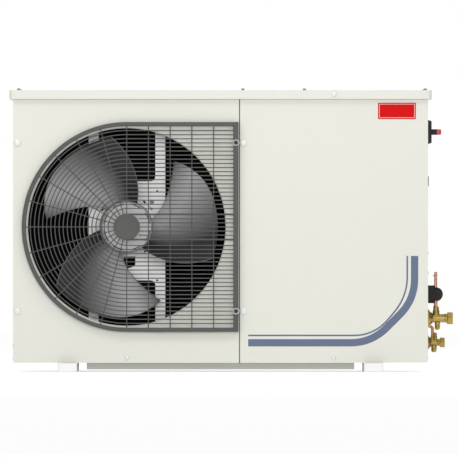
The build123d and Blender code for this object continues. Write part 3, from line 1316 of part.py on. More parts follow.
def terminal_block():
    """Row of terminals along the bottom of the box."""
    back = BOX_BACK - SHEET
    left = BOX_LEFT + CONTROL_INSET
    low = BOX_BOTTOM + SHEET + CONTROL_GAP
    high = low + TERMINAL_HEIGHT
    strip = block((left, left + TERMINAL_WAYS * TERMINAL_PITCH), (back - TERMINAL_DEPTH, back),
                  (low, high))
    half = TERMINAL_PITCH / 3
    for way in range(TERMINAL_WAYS):
        x = left + TERMINAL_PITCH * (way + 0.5)
        strip -= block((x - half, x + half), (back - TERMINAL_DEPTH, back - TERMINAL_DEPTH * 0.6),
                       (high - TERMINAL_HEIGHT * 0.4, high))
    return strip


def run_capacitor():
    """Run capacitor on its foot against the back of the box."""
    back = BOX_BACK - SHEET
    x = BOX_LEFT + CONTROL_INSET + CAPACITOR_RADIUS
    low = controls_floor()
    can = rod_z(CAPACITOR_RADIUS, x, back - CAPACITOR_RADIUS - 2, (low, low + CAPACITOR_LENGTH))
    foot = block((x - CAPACITOR_RADIUS, x + CAPACITOR_RADIUS), (back - CAPACITOR_RADIUS, back),
                 (low, low + CAPACITOR_LENGTH * 0.15))
    return can + foot


def switch_body():
    """Rotary switch on the inside of the box's right wall."""
    wall = BOX_RIGHT - SHEET
    body = block((wall - 46, wall), (SWITCH_Y - 24, SWITCH_Y + 24), (SWITCH_Z - 28, SWITCH_Z + 28))
    bore = SWITCH_SHAFT_RADIUS + RUNNING_FIT
    return body - rod_x(bore, (wall - 30, wall), SWITCH_Y, SWITCH_Z)


def switch_plate():
    """Tapered square plate on the outside of the side panel."""
    plate = extrude(Plane.YZ.offset(HALF_WIDTH) * RectangleRounded(SWITCH_PLATE, SWITCH_PLATE, 6),
                    amount=SWITCH_PLATE_THICKNESS, taper=SWITCH_PLATE_TAPER)
    plate = Pos(0, SWITCH_Y, SWITCH_Z) * plate
    bore = SWITCH_SHAFT_RADIUS + RUNNING_FIT
    return plate - rod_x(bore, (HALF_WIDTH, HALF_WIDTH + 20), SWITCH_Y, SWITCH_Z)


def switch_collar_x():
    """X ends of the collar under the handle."""
    start = HALF_WIDTH + SWITCH_PLATE_THICKNESS + TURNING_GAP
    return start, start + SWITCH_COLLAR_LENGTH


def switch_shaft():
    """Shaft through the wall, with the black collar that carries the handle."""
    collar = switch_collar_x()
    shaft = rod_x(SWITCH_SHAFT_RADIUS, (BOX_RIGHT - SHEET - 28, collar[0]), SWITCH_Y, SWITCH_Z)
    return shaft + rod_x(SWITCH_COLLAR_RADIUS, collar, SWITCH_Y, SWITCH_Z)


def switch_handle():
    """Red handle bar of the main switch."""
    start = switch_collar_x()[1]
    bar = SlotOverall(HANDLE_LENGTH, HANDLE_THICKNESS)
    handle = Pos(0, SWITCH_Y, SWITCH_Z) * plate_x(bar, (start, start + HANDLE_HEIGHT))
    return chamfer(handle.faces().sort_by(Axis.X)[-1].edges(), 1.5)


def cable_glands():
    """Two low cable bushings through the side panel, nutted inside the electrical box."""
    start = BOX_RIGHT - SHEET - GLAND_INSIDE
    out = HALF_WIDTH + GLAND_RIM
    glands = []
    for y in GLAND_Y:
        gland = turned_x([(start, 0), (start, GLAND_RADIUS), (HALF_WIDTH, GLAND_RADIUS),
                          (HALF_WIDTH, GLAND_RIM_RADIUS), (out - 1, GLAND_RIM_RADIUS),
                          (out, GLAND_RIM_RADIUS - 1), (out, 0)], y, GLAND_Z)
        nut = BOX_RIGHT - SHEET - GLAND_NUT_LENGTH
        gland += Pos(nut, y, GLAND_Z) * Rot(0, 90, 0) * hexagon(GLAND_NUT, GLAND_NUT_LENGTH)
        glands.append(gland - rod_x(GLAND_BORE, (start - 1, out + 1), y, GLAND_Z))
    return group(glands)


# ---- screws ----------------------------------------------------------------------------
def screw_y(x, y, z, head_radius, head, dome, outward=-1):
    """Screw along Y: its head outside the face at y, its shank inside."""
    tip = y - outward * SCREW_LENGTH
    top = y + outward * head
    points = [(0, tip), (SCREW_RADIUS, tip), (SCREW_RADIUS, y), (head_radius, y),
              (head_radius, y + outward * head * 0.35), (head_radius * dome, top), (0, top)]
    return turned_y(points, x, z)


def cap_screws():
    """Domed white screws of the front panels, and the one in the lid's front rim."""
    screws = [screw_y(x, FRONT, z, CAP_SCREW_RADIUS, CAP_SCREW_HEAD, 0.55)
              for x, z in cap_screw_places()]
    screws.append(screw_y(LID_FRONT_SCREW_X, FRONT - LID_OVERHANG, lid_rim_middle(),
                          SCREW_HEAD_RADIUS + 1, 3.5, 0.55))
    return group(screws)


def panel_screws():
    """Screws into the base pan, round the sides and along the rear panel."""
    screws = [screw_y(x, FRONT, PAN_SCREW_HEIGHT, SCREW_HEAD_RADIUS, SCREW_HEAD, 0.7)
              for x in (FAN_X, SERVICE_SCREW_X)]
    screws += [screw_y(x, HALF_DEPTH, z, SCREW_HEAD_RADIUS, SCREW_HEAD, 0.7, outward=1)
               for x, z in rear_screw_places()]
    for side, heights in ((-1, LEFT_SIDE_SCREWS), (1, RIGHT_SIDE_SCREWS)):
        for y in (-SIDE_SCREW_Y, SIDE_SCREW_Y):
            screws += [side_screw(side, y, z) for z in heights]
    return group(screws)


def side_screw(side, y, z):
    """Screw into one side of the cabinet."""
    wall = side * HALF_WIDTH
    tip = wall - side * SCREW_LENGTH * 0.5
    top = wall + side * 2.0
    return turned_x([(tip, 0), (tip, SCREW_RADIUS), (wall, SCREW_RADIUS),
                     (wall, SCREW_HEAD_RADIUS * 0.8), (top, SCREW_HEAD_RADIUS * 0.6), (top, 0)],
                    y, z)


def lid_screws():
    """Hexagon-headed screws in the top of the lid."""
    screws = []
    for x, y in lid_screw_places():
        screw = rod_z(SCREW_RADIUS, x, y, (LID_Z - SCREW_LENGTH * 0.5, LID_Z))
        screw += rod_z(LID_SCREW_HEAD_RADIUS + 1.6, x, y, (LID_Z, LID_Z + 1))
        screw += Pos(x, y, LID_Z) * hexagon(2 * LID_SCREW_HEAD_RADIUS * 0.87, LID_SCREW_HEAD)
        screws.append(screw)
    return group(screws)


def guard_fixings():
    """Socket screws with light washers that hold the fan guard."""
    screws = []
    for x, z in guard_screw_places():
        screw = rod_y(SCREW_RADIUS, x, (GUARD_FACE, GUARD_FACE + GUARD_DEPTH + SCREW_LENGTH * 0.5), z)
        face = GUARD_FACE - GUARD_WASHER
        screw += rod_y(GUARD_WASHER_RADIUS, x, (face, GUARD_FACE), z)
        screws.append(screw - rod_y(GUARD_SOCKET_RADIUS, x,
                                    (face, GUARD_FACE - GUARD_WASHER * 0.3), z))
    return group(screws)


def build_parts():
    """Every sub-part of the unit, by name."""
    return {
        "base_pan": base_pan(),
        "foot_rail_left": foot_rail(-1),
        "foot_rail_right": foot_rail(1),
        "base_stiffeners": base_stiffeners(),
        "fan_front_panel": fan_front_panel(),
        "service_panel": service_panel(),
        "left_side_panel": left_side_panel(),
        "right_side_panel": right_side_panel(),
        "rear_panel": rear_panel(),
        "top_lid": top_lid(),
        "partition": partition(),
        "top_brace": top_brace(),
        "motor_bracket": motor_bracket(),
        "guard_frame": guard_frame(),
        "guard_rings": guard_rings(),
        "guard_spokes": guard_spokes(),
        "guard_disc": guard_disc(),
        "guard_fixings": guard_fixings(),
        "fan_impeller": fan_impeller(),
        "fan_rotor": fan_rotor(),
        "fan_stator": fan_stator(),
        "fan_bearings": fan_bearings(),
        "motor_bolts": motor_bolts(),
        "condenser_headers": condenser_headers(),
        "condenser_tubes": condenser_tubes(),
        "condenser_fins": condenser_fins(),
        "condenser_frame": condenser_frame(),
        "coil_guard": coil_guard(),
        "compressor_shell": compressor_shell(),
        "compressor_feet": compressor_feet(),
        "compressor_grommets": compressor_grommets(),
        "compressor_bolts": compressor_bolts(),
        "terminal_cover": terminal_cover(),
        "liquid_receiver": liquid_receiver(),
        "receiver_strap": receiver_strap(),
        "filter_drier": filter_drier(),
        "sight_glass": sight_glass(),
        "discharge_line": discharge_line(),
        "condensate_line": condensate_line(),
        "drier_line": drier_line(),
        "liquid_line": liquid_line(),
        "suction_line": suction_line(),
        "suction_riser": suction_riser(),
        "suction_insulation": suction_insulation(),
        "electrical_box": electrical_box(),
        "electrical_cover": electrical_cover(),
        "contactor": contactor(),
        "terminal_block": terminal_block(),
        "run_capacitor": run_capacitor(),
        "switch_body": switch_body(),
        "switch_plate": switch_plate(),
        "switch_shaft": switch_shaft(),
        "switch_handle": switch_handle(),
        "cable_glands": cable_glands(),
        "valve_bodies": group([valve_body(SUCTION), liquid_valve_body()]),
        "valve_nuts": group([valve_nut(SUCTION), valve_nut(LIQUID)]),
        "suction_valve_stem": valve_stem(SUCTION),
        "liquid_valve_stem": valve_stem(LIQUID),
        "valve_caps": group([valve_cap(SUCTION), valve_cap(LIQUID)]),
        "screws": group([*cap_screws().children, *panel_screws().children,
                         *lid_screws().children]),
    }


def main():
    """Write one STEP file for each sub-part."""
    os.makedirs("parts", exist_ok=True)
    for name, part in build_parts().items():
        export_step(part, f"parts/{name}.step")


main()
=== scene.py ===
"""Looks of an air-cooled refrigeration condensing unit in a slim sheet-steel cabinet.

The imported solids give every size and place. This script dresses them with finishes, and adds the
pieces whose round or pressed shapes the solids only outline. Lengths are in millimetres until a
mesh is made, and -Y is the front.
"""

import json
import logging
import math
from dataclasses import dataclass
from enum import Enum
from typing import Any, Iterable

import bmesh
import bpy
import numpy as np
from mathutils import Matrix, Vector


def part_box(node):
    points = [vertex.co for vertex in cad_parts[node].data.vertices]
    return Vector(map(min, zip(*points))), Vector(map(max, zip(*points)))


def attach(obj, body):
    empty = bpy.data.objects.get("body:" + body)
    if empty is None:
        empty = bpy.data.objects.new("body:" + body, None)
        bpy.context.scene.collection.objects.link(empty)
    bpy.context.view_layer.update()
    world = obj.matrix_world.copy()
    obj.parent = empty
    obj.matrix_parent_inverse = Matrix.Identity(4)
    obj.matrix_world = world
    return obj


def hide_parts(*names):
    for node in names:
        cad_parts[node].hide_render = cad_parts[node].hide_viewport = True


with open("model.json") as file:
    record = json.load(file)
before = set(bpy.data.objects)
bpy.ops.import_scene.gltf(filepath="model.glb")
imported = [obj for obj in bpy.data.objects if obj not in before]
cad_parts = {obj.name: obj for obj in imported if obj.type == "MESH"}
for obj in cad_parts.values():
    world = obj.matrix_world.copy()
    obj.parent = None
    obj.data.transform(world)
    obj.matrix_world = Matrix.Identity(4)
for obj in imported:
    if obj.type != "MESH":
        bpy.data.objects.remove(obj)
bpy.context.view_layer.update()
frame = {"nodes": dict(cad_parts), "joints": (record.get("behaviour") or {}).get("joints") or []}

LOG = logging.getLogger("condensing_unit")
MM = 0.001
WELD = 2e-6  # metres under which points merge
CREASE = 32.0  # degrees from which an edge stays sharp
FOLD_ANGLE = 50.0  # degrees from which a sheet's edge is rounded

Array = np.ndarray
Outline = Iterable[tuple[float, float]] | Array
Place = Iterable[float]
Links = dict[str | int, Any]


# ---- places on the unit ------------------------------------------------------------------
def span(node: str, axis: int) -> tuple[float, float]:
    """Ends of a solid along one axis.

    Args:
        node: Name of the solid.
        axis: 0, 1 or 2 for X, Y or Z.

    Returns:
        The lower and the upper end, in millimetres.
    """
    low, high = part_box(node)
    return low[axis] / MM, high[axis] / MM


def joint_place(name: str) -> Array:
    """Point that a joint turns about, in millimetres."""
    found = next(j for j in frame["joints"] if j["name"] == name)
    return np.array(found["pos_m"], float) / MM


FAN = joint_place("fan_spin")
SWITCH = joint_place("main_switch_turn")
WALL = span("right_side_panel", 0)[1]
FRONT = span("service_panel", 1)[0]
REAR = span("rear_panel", 1)[1]


# ---- meshes ------------------------------------------------------------------------------
class Shell:
    """A closed surface, gathered from grids of points."""

    def __init__(self) -> None:
        """Starts with no points."""
        self.points: list[Array] = []
        self.faces: list[Array] = []
        self.shares: list[Array] = []
        self.total = 0

    def grid(self, points: Array, around: bool = False, along: bool = False,
             shares: Array | None = None) -> None:
        """Adds the quads of one grid.

        Face (i, j) joins the points (i, j), (i, j+1), (i+1, j+1) and (i+1, j). Where the grid
        closes on itself, the first column or row follows the last.

        Args:
            points: Points of shape (rows, columns, 3), in millimetres.
            around: Whether the columns close on themselves.
            along: Whether the rows close on themselves.
            shares: UV of each point, of shape (rows, columns, 2).
        """
        rows, columns = points.shape[:2]
        flat = np.zeros((rows, columns, 2)) if shares is None else shares
        self.shares.append(flat.reshape(-1, 2))
        index = np.arange(rows * columns).reshape(rows, columns) + self.total
        if around:
            index = np.concatenate([index, index[:, :1]], axis=1)
        if along:
            index = np.concatenate([index, index[:1]], axis=0)
        quads = np.stack([index[:-1, :-1], index[:-1, 1:], index[1:, 1:], index[1:, :-1]], axis=-1)
        self.points.append(points.reshape(-1, 3))
        self.faces.append(quads.reshape(-1, 4))
        self.total += rows * columns

    def piece(self, name: str, crease: float = CREASE) -> bpy.types.Object:
        """Makes the object, with its seams and poles welded and its faces turned outwards.

        Args:
            name: Name of the piece.
            crease: Angle in degrees from which an edge stays sharp.

        Returns:
            The object, at the origin.
        """
        mesh = bpy.data.meshes.new(name)
        points = np.concatenate(self.points) * MM
        faces = np.concatenate(self.faces)
        mesh.vertices.add(len(points))
        mesh.vertices.foreach_set("co", points.astype(np.float32).ravel())
        mesh.loops.add(faces.size)
        mesh.loops.foreach_set("vertex_index", faces.astype(np.int32).ravel())
        mesh.polygons.add(len(faces))
        mesh.polygons.foreach_set("loop_start", np.arange(0, faces.size, 4, dtype=np.int32))
        shares = np.concatenate(self.shares)
        if shares.any():
            layer = mesh.uv_layers.new(name="UVMap")
            layer.data.foreach_set("uv", shares[faces.ravel()].astype(np.float32).ravel())
        mesh.update(calc_edges=True)
        weld(mesh)
        return placed(mesh, name, crease)


def weld(mesh: bpy.types.Mesh) -> None:
    """Merges points that coincide and turns the faces outwards."""
    work = bmesh.new()
    work.from_mesh(mesh)
    bmesh.ops.remove_doubles(work, verts=work.verts, dist=WELD)
    bmesh.ops.dissolve_degenerate(work, dist=WELD, edges=work.edges)
    bmesh.ops.recalc_face_normals(work, faces=work.faces)
    work.to_mesh(mesh)
    work.free()


def placed(mesh: bpy.types.Mesh, name: str, crease: float) -> bpy.types.Object:
    """Puts a mesh into the scene, smooth except along its creases."""
    mesh.polygons.foreach_set("use_smooth", np.ones(len(mesh.polygons), bool))
    mesh.set_sharp_from_angle(angle=math.radians(crease))
    made = bpy.data.objects.new(name, mesh)
    bpy.context.scene.collection.objects.link(made)
    return made


def rounded(corners: Outline, radius: float, steps: int = 4, closed: bool = False) -> Array:
    """Rounds the corners of an outline.

    Each corner P becomes a curve from A to C, which lie at the radius from P on its two sides:
    (1-t)^2 A + 2t(1-t) P + t^2 C. A side shorter than two radii gets half its length instead.

    Args:
        corners: The outline's points.
        radius: Distance from a corner at which its curve starts.
        steps: Points on each curve, less one.
        closed: Whether the outline closes on itself.

    Returns:
        Points of shape (n, 2).
    """
    points = np.array(corners, float)
    before, after = np.roll(points, 1, axis=0) - points, np.roll(points, -1, axis=0) - points
    length_in = np.linalg.norm(before, axis=1, keepdims=True)
    length_out = np.linalg.norm(after, axis=1, keepdims=True)
    reach_in = np.minimum(radius, length_in / 2) / np.maximum(length_in, 1e-9)
    reach_out = np.minimum(radius, length_out / 2) / np.maximum(length_out, 1e-9)
    t = np.linspace(0, 1, steps + 1)[None, :, None]
    start, end = (points + before * reach_in)[:, None], (points + after * reach_out)[:, None]
    curves = (1 - t) ** 2 * start + 2 * t * (1 - t) * points[:, None] + t ** 2 * end
    if closed:
        return curves.reshape(-1, 2)
    return np.concatenate([points[:1], curves[1:-1].reshape(-1, 2), points[-1:]])


def full_turn(sides: int) -> Array:
    """Even angles from 0, once round, in radians."""
    return np.linspace(0, 2 * np.pi, sides, endpoint=False)


def circle(radius: float, sides: int) -> Array:
    """Points of a circle, (sides, 2): radius times the cosine and sine of even angles."""
    angle = full_turn(sides)
    return radius * np.stack([np.cos(angle), np.sin(angle)], axis=1)


class Axis(Enum):
    """Direction that a turned piece points along, with the two directions across it."""

    RIGHT = ((1, 0, 0), (0, 1, 0), (0, 0, 1))
    FORWARD = ((0, -1, 0), (1, 0, 0), (0, 0, 1))
    BACK = ((0, 1, 0), (1, 0, 0), (0, 0, 1))
    LEFT = ((-1, 0, 0), (0, 1, 0), (0, 0, 1))
    UP = ((0, 0, 1), (1, 0, 0), (0, 1, 0))

    def place(self, centre: Place, along: Array, a: Array, b: Array) -> Array:
        """Points at centre + along * axis + a * first + b * second."""
        axis, first, second = (np.array(v, float) for v in self.value)
        return (np.array(list(centre), float) + along[..., None] * axis + a[..., None] * first
                + b[..., None] * second)


def spun(shell: Shell, axis: Axis, centre: Place, along: Array, radius: Array,
         angle: Array) -> None:
    """Adds a grid that closes round an axis, from places along it, radii and angles."""
    shell.grid(axis.place(centre, along, radius * np.cos(angle), radius * np.sin(angle)),
               around=True)


def turned(shell: Shell, axis: Axis, centre: Place, outline: Outline, sides: int = 48) -> None:
    """Adds a surface of revolution.

    A point is at the outline's height along the axis, and at its radius times the cosine and
    sine of the angle across it. An outline that starts and ends at radius 0 closes at its poles.

    Args:
        shell: The shell that gets it.
        axis: The direction of the axis.
        centre: The point where height is 0.
        outline: (height, radius) pairs, in order.
        sides: Number of columns round the axis.
    """
    points = np.array(outline, float)
    along = np.repeat(points[:, :1], sides, axis=1)
    spun(shell, axis, centre, along, np.maximum(points[:, 1:], 0), full_turn(sides)[None])


def rectangle(width: float, height: float) -> Array:
    """Corners of a rectangle about the middle, counter-clockwise."""
    corners = np.array([(-1.0, -1.0), (1.0, -1.0), (1.0, 1.0), (-1.0, 1.0)])
    return corners * (width, height) / 2


def lofted(shell: Shell, axis: Axis, centre: Place, outline: Outline, levels: Outline) -> None:
    """Adds a closed block whose outline shrinks level by level.

    A point is the outline's point moved in along its own normal by the level's inset, at the
    level's height. The first and last level shrink to the middle, which closes the block.

    Args:
        shell: The shell that gets it.
        axis: The direction of the heights.
        centre: Middle of the outline, where height is 0.
        outline: Counter-clockwise points across the axis, (n, 2).
        levels: (height, inset) pairs from the base to the top.
    """
    outline, levels = np.array(outline, float), np.array(levels, float)
    ahead = np.roll(outline, -1, axis=0) - np.roll(outline, 1, axis=0)
    normal = np.stack([ahead[:, 1], -ahead[:, 0]], axis=1)
    normal /= np.maximum(np.linalg.norm(normal, axis=1, keepdims=True), 1e-9)
    rings = outline[None] - normal[None] * levels[:, 1][:, None, None]
    middle = np.broadcast_to(outline.mean(axis=0), rings[:1].shape)
    rings = np.concatenate([middle, rings, middle])
    heights = np.concatenate([levels[:1, 0], levels[:, 0], levels[-1:, 0]])
    along = np.repeat(heights[:, None], len(outline), axis=1)
    shell.grid(axis.place(centre, along, rings[..., 0], rings[..., 1]), around=True)


def swept(shell: Shell, path: Outline, section: Outline, depth: float,
          closed: bool = False) -> None:
    """Carries a section along a path that lies in an upright plane facing the front.

    A point is the path's point, plus the section's first number along the path's own side
    direction, mitred at corners, plus its second number towards the front.

    Args:
        shell: The shell that gets it.
        path: (x, z) points.
        section: Closed outline, (m, 2): across the path, and towards the front.
        depth: Y of the plane.
        closed: Whether the path closes on itself. An open one is capped.
    """
    path, section = np.array(path, float), np.array(section, float)
    ahead = np.roll(path, -1, axis=0) - path
    ahead /= np.maximum(np.linalg.norm(ahead, axis=1, keepdims=True), 1e-9)
    behind = np.roll(ahead, 1, axis=0)
    if not closed:
        behind[0], ahead[-1] = ahead[0], behind[-1]
    side_in = np.stack([ahead[:, 1], -ahead[:, 0]], axis=1)
    side_out = np.stack([behind[:, 1], -behind[:, 0]], axis=1)
    mitre = (side_in + side_out) / (1 + np.sum(side_in * side_out, axis=1, keepdims=True))
    flat = path[:, None] + mitre[:, None] * section[None, :, :1]
    towards = np.broadcast_to(depth - section[None, :, 1], flat.shape[:2])
    points = np.stack([flat[..., 0], towards, flat[..., 1]], axis=-1)
    if not closed:
        ends = [np.broadcast_to(points[i].mean(axis=0), points[:1].shape) for i in (0, -1)]
        points = np.concatenate([ends[0], points, ends[1]])
    shell.grid(points, around=True, along=closed)


def bar(shell: Shell, start: Place, end: Place, radius: float, sides: int = 10) -> None:
    """Adds a straight round wire: two circles across its direction, closed by poles."""
    a, b = np.array(list(start), float), np.array(list(end), float)
    direction = (b - a) / np.linalg.norm(b - a)
    first = np.cross(direction, (0.3, 0.5, 0.8))
    first /= np.linalg.norm(first)
    second = np.cross(direction, first)
    ring = circle(radius, sides)
    loop = ring[:, :1] * first + ring[:, 1:] * second
    ends = [np.broadcast_to(p, loop.shape) for p in (a, b)]
    shell.grid(np.stack([ends[0], a + loop, b + loop, ends[1]]), around=True)


def edged_copy(node: str, name: str, edge: float) -> bpy.types.Object:
    """Copies a sheet-metal solid, with a small round along its folds and cut edges.

    Args:
        node: The solid, which the copy stands for.
        name: Name of the new piece.
        edge: Width of the round, in millimetres.

    Returns:
        The piece.
    """
    mesh = frame["nodes"][node].data.copy()
    mesh.name = name
    mesh.materials.clear()
    work = bmesh.new()
    work.from_mesh(mesh)
    bmesh.ops.remove_doubles(work, verts=work.verts, dist=WELD)
    bmesh.ops.dissolve_limit(work, angle_limit=math.radians(0.6), verts=work.verts,
                             edges=work.edges)
    work.to_mesh(mesh)
    work.free()
    if mesh.has_custom_normals:
        mesh.normals_split_custom_set(np.zeros((len(mesh.loops), 3)))
    made = placed(mesh, name, CREASE)
    bevel = made.modifiers.new("edge", "BEVEL")
    bevel.width = edge * MM
    bevel.segments = 2
    bevel.limit_method = "ANGLE"
    bevel.angle_limit = math.radians(FOLD_ANGLE)
    bevel.harden_normals = True
    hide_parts(node)
    return made


# ---- finishes ----------------------------------------------------------------------------
Colour = tuple[float, float, float, float]
SUM_RANGE = (0.6, 1.4)  # where the sum of two patterns lies


def linear(code: str) -> Colour:
    """Turns an sRGB hex code into linear red, green, blue and alpha."""
    values = [int(code[i:i + 2], 16) / 255 for i in (1, 3, 5)]
    parts = [v / 12.92 if v <= 0.04045 else ((v + 0.055) / 1.055) ** 2.4 for v in values]
    return parts[0], parts[1], parts[2], 1.0


def node(tree: bpy.types.NodeTree, kind: str, links: Links | None = None,
         **settings: Any) -> bpy.types.Node:
    """Adds one shader node.

    Args:
        tree: The node tree that gets it.
        kind: Type of the node, without its prefix.
        links: For each input, the socket that feeds it or its plain value.
        settings: Properties of the node.

    Returns:
        The node.
    """
    made = tree.nodes.new("ShaderNode" + kind)
    for name, value in settings.items():
        setattr(made, name, value)
    for name, value in (links or {}).items():
        if isinstance(value, bpy.types.NodeSocket):
            tree.links.new(value, made.inputs[name])
        else:
            made.inputs[name].default_value = value
    return made


def maths(tree: bpy.types.NodeTree, operation: str, first: Any, second: Any) -> Any:
    """Adds a maths node on two sockets or numbers, and returns the socket that it gives."""
    return node(tree, "Math", {0: first, 1: second}, operation=operation).outputs[0]


def mapped(tree: bpy.types.NodeTree, value: Any, start: tuple[float, float] = (0.0, 1.0),
           end: tuple[float, float] = (0.0, 1.0)) -> Any:
    """Maps a value from one range onto another, kept inside it, and returns the socket."""
    return node(tree, "MapRange", {"Value": value, "From Min": start[0], "From Max": start[1],
                                   "To Min": end[0], "To Max": end[1]}).outputs["Result"]


def ramp(tree: bpy.types.NodeTree, value: Any, low: Colour, high: Colour) -> Any:
    """Runs from one colour to another as a value goes from 0 to 1; returns the socket."""
    made = node(tree, "ValToRGB", {"Fac": value})
    for stop, colour in zip(made.color_ramp.elements, (low, high)):
        stop.color = colour
    return made.outputs["Color"]


def blank_tree(made: bpy.types.Material | bpy.types.World) -> bpy.types.NodeTree:
    """The node tree of a material or a world, emptied."""
    made.use_nodes = True
    made.node_tree.nodes.clear()
    return made.node_tree


class Grain(Enum):
    """How a surface was made, which decides its pattern."""

    SPRAYED = "powder or enamel, flowed out to a faint orange peel"
    SPANGLED = "hot-dip zinc, frozen into flat crystals"
    CAST = "cast or forged, finely pitted"
    DRAWN = "drawn or rolled, with fine lines along it"
    MOULDED = "moulded plastic, with an even spark-eroded grain"
    FOAMED = "closed-cell foam, with small pores"


@dataclass(frozen=True)
class Finish:
    """One finish: what the material is, and how its surface catches light.

    grain_mm is the width of one mark of the pattern, relief_mm its height, tone the share by
    which its colour varies, and wear the share by which its roughness does. painted_shade is
    the share by which painted shade darkens the colour towards the edges of a piece that has a
    UV map.
    """

    name: str
    slot: str
    hex_code: str
    grain: Grain
    grain_mm: float
    relief_mm: float
    roughness: float
    metallic: float = 0.0
    ior: float = 1.5
    tone: float = 0.03
    wear: float = 0.06
    stretch: tuple[float, float, float] = (1.0, 1.0, 1.0)
    coat: float = 0.0
    clouds_mm: float = 160.0
    painted_shade: float = 0.0

    def material(self) -> bpy.types.Material:
        """Builds the node material once, and returns it each time."""
        found = bpy.data.materials.get(self.name)
        if found:
            return found
        made = bpy.data.materials.new(self.name)
        tree = blank_tree(made)
        place = node(tree, "TexCoord").outputs["Object"]
        mark = self.marks(tree, place)
        clouds = node(tree, "TexNoise", {"Vector": place, "Scale": 1 / (self.clouds_mm * MM),
                                         "Detail": 3.0, "Roughness": 0.6}).outputs["Fac"]
        blend = maths(tree, "ADD", mark, clouds)
        base = ramp(tree, mapped(tree, blend, SUM_RANGE), self.shade(1 - self.tone),
                    self.shade(1 + self.tone))
        # Painted shade towards the edges of a blade, from its UV map.
        if self.painted_shade:
            base = self.painted_blade_shade(tree, base)
        rough = mapped(tree, blend, SUM_RANGE, (max(self.roughness - self.wear, 0.02),
                                                min(self.roughness + self.wear, 1.0)))
        bump = node(tree, "Bump", {"Height": mark, "Strength": 1.0,
                                   "Distance": self.relief_mm * MM})
        shader = node(tree, "BsdfPrincipled", {
            "Base Color": base, "Roughness": rough,
            "Normal": bump.outputs["Normal"], "Metallic": self.metallic, "IOR": self.ior,
            "Coat Weight": self.coat, "Coat Roughness": 0.12})
        node(tree, "OutputMaterial", {"Surface": shader.outputs["BSDF"]})
        return made

    def painted_blade_shade(self, tree: bpy.types.NodeTree, colour: bpy.types.NodeSocket) -> Any:
        """Paints shade into a colour towards both edges of a blade.

        With x across the chord and y out along the blade, the colour is multiplied by
        1 - painted_shade * ((x - 0.28) / 0.5 + (1 - x / 0.2) * y ** 2), each part kept in 0 to 1.
        This painted shade darkens the blade towards its trailing edge and, near the tip, towards
        its leading edge. The last hundredth of the chord, which is the rounded edge itself,
        darkens less, which leaves a lighter line along it.

        Args:
            tree: The material's node tree.
            colour: The colour to darken.

        Returns:
            The socket that gives the darkened colour.
        """
        place = node(tree, "SeparateXYZ", {"Vector": node(tree, "TexCoord").outputs["UV"]})
        x, y = place.outputs["X"], place.outputs["Y"]
        body = mapped(tree, maths(tree, "LESS_THAN", x, 0.992), end=(0.8, 1.0))
        trail = maths(tree, "MULTIPLY", mapped(tree, x, (0.28, 0.78)), body)
        lead = maths(tree, "MULTIPLY", mapped(tree, x, (0.2, 0.0)),
                     maths(tree, "POWER", y, 2.0))
        left = mapped(tree, maths(tree, "ADD", trail, lead), end=(1.0, 1 - self.painted_shade))
        grey = node(tree, "CombineColor", {i: left for i in range(3)})
        return node(tree, "MixRGB", {"Fac": 1.0, "Color1": colour, "Color2": grey.outputs[0]},
                    blend_type="MULTIPLY").outputs["Color"]

    def shade(self, share: float) -> Colour:
        """The finish's colour times a share, in linear light."""
        red, green, blue = (min(part * share, 1.0) for part in linear(self.hex_code)[:3])
        return red, green, blue, 1.0

    def marks(self, tree: bpy.types.NodeTree, place: bpy.types.NodeSocket) -> Any:
        """Adds the pattern of the surface's own grain, from 0 to 1.

        Args:
            tree: The material's node tree.
            place: Object coordinates, in metres.

        Returns:
            The socket that gives the pattern.
        """
        scale = 1 / (self.grain_mm * MM)
        where = node(tree, "Mapping", {"Vector": place, "Scale": self.stretch}).outputs["Vector"]
        if self.grain is Grain.SPANGLED:
            cells = node(tree, "TexVoronoi", {"Vector": where, "Scale": scale},
                         feature="F1").outputs["Color"]
            return node(tree, "SeparateColor", {"Color": cells}).outputs[0]
        if self.grain is Grain.FOAMED:
            return node(tree, "TexVoronoi", {"Vector": where, "Scale": scale},
                        feature="SMOOTH_F1").outputs["Distance"]
        detail = {Grain.SPRAYED: 1.0, Grain.CAST: 5.0, Grain.DRAWN: 3.0}.get(self.grain, 2.0)
        return node(tree, "TexNoise", {"Vector": where, "Scale": scale, "Detail": detail,
                                       "Roughness": 0.55}).outputs["Fac"]


# Polyester powder coat on galvanised sheet: satin, cream white, with a faint orange peel.
PAINT = Finish("powder_coat_cream", "cabinet_paint", "#E9E9DF", Grain.SPRAYED, 1.6, 0.012,
               0.42, tone=0.008, wear=0.03)
# Hot-dip galvanised sheet: pale grey zinc with a flat spangle, dull rather than bright.
GALVANISED = Finish("galvanised_sheet", "galvanised", "#C9CAC8", Grain.SPANGLED, 7.0, 0.004,
                    0.46, metallic=0.35, tone=0.04, wear=0.07)
# Flat sheet left in the same zinc, primed: seen as a plain grey strip.
PRIMED = Finish("zinc_primer", "galvanised", "#B4B5AF", Grain.SPRAYED, 1.6, 0.01, 0.6,
                tone=0.02, wear=0.04)
# Zinc sheet made far paler than zinc: painted light that keeps the motor's bracket bright deep
# inside the fan's outlet.
BRACKET = Finish("pale_zinc_painted_light", "galvanised", "#F2F2F0", Grain.SPRAYED, 1.6, 0.008,
                 0.4, metallic=0.35, tone=0.015, wear=0.04)
# Electroplated zinc on pressed steel: bluish grey, half bright.
ZINC = Finish("zinc_plate", "zinc_fastener", "#C6C7C6", Grain.CAST, 0.8, 0.006, 0.34,
              metallic=0.9)
# The same plating, passivated and dull, on bolts and hexagon screws.
DULL_ZINC = Finish("passivated_zinc", "zinc_fastener", "#8C8C8A", Grain.CAST, 0.8, 0.006, 0.5,
                   metallic=0.4, tone=0.05)
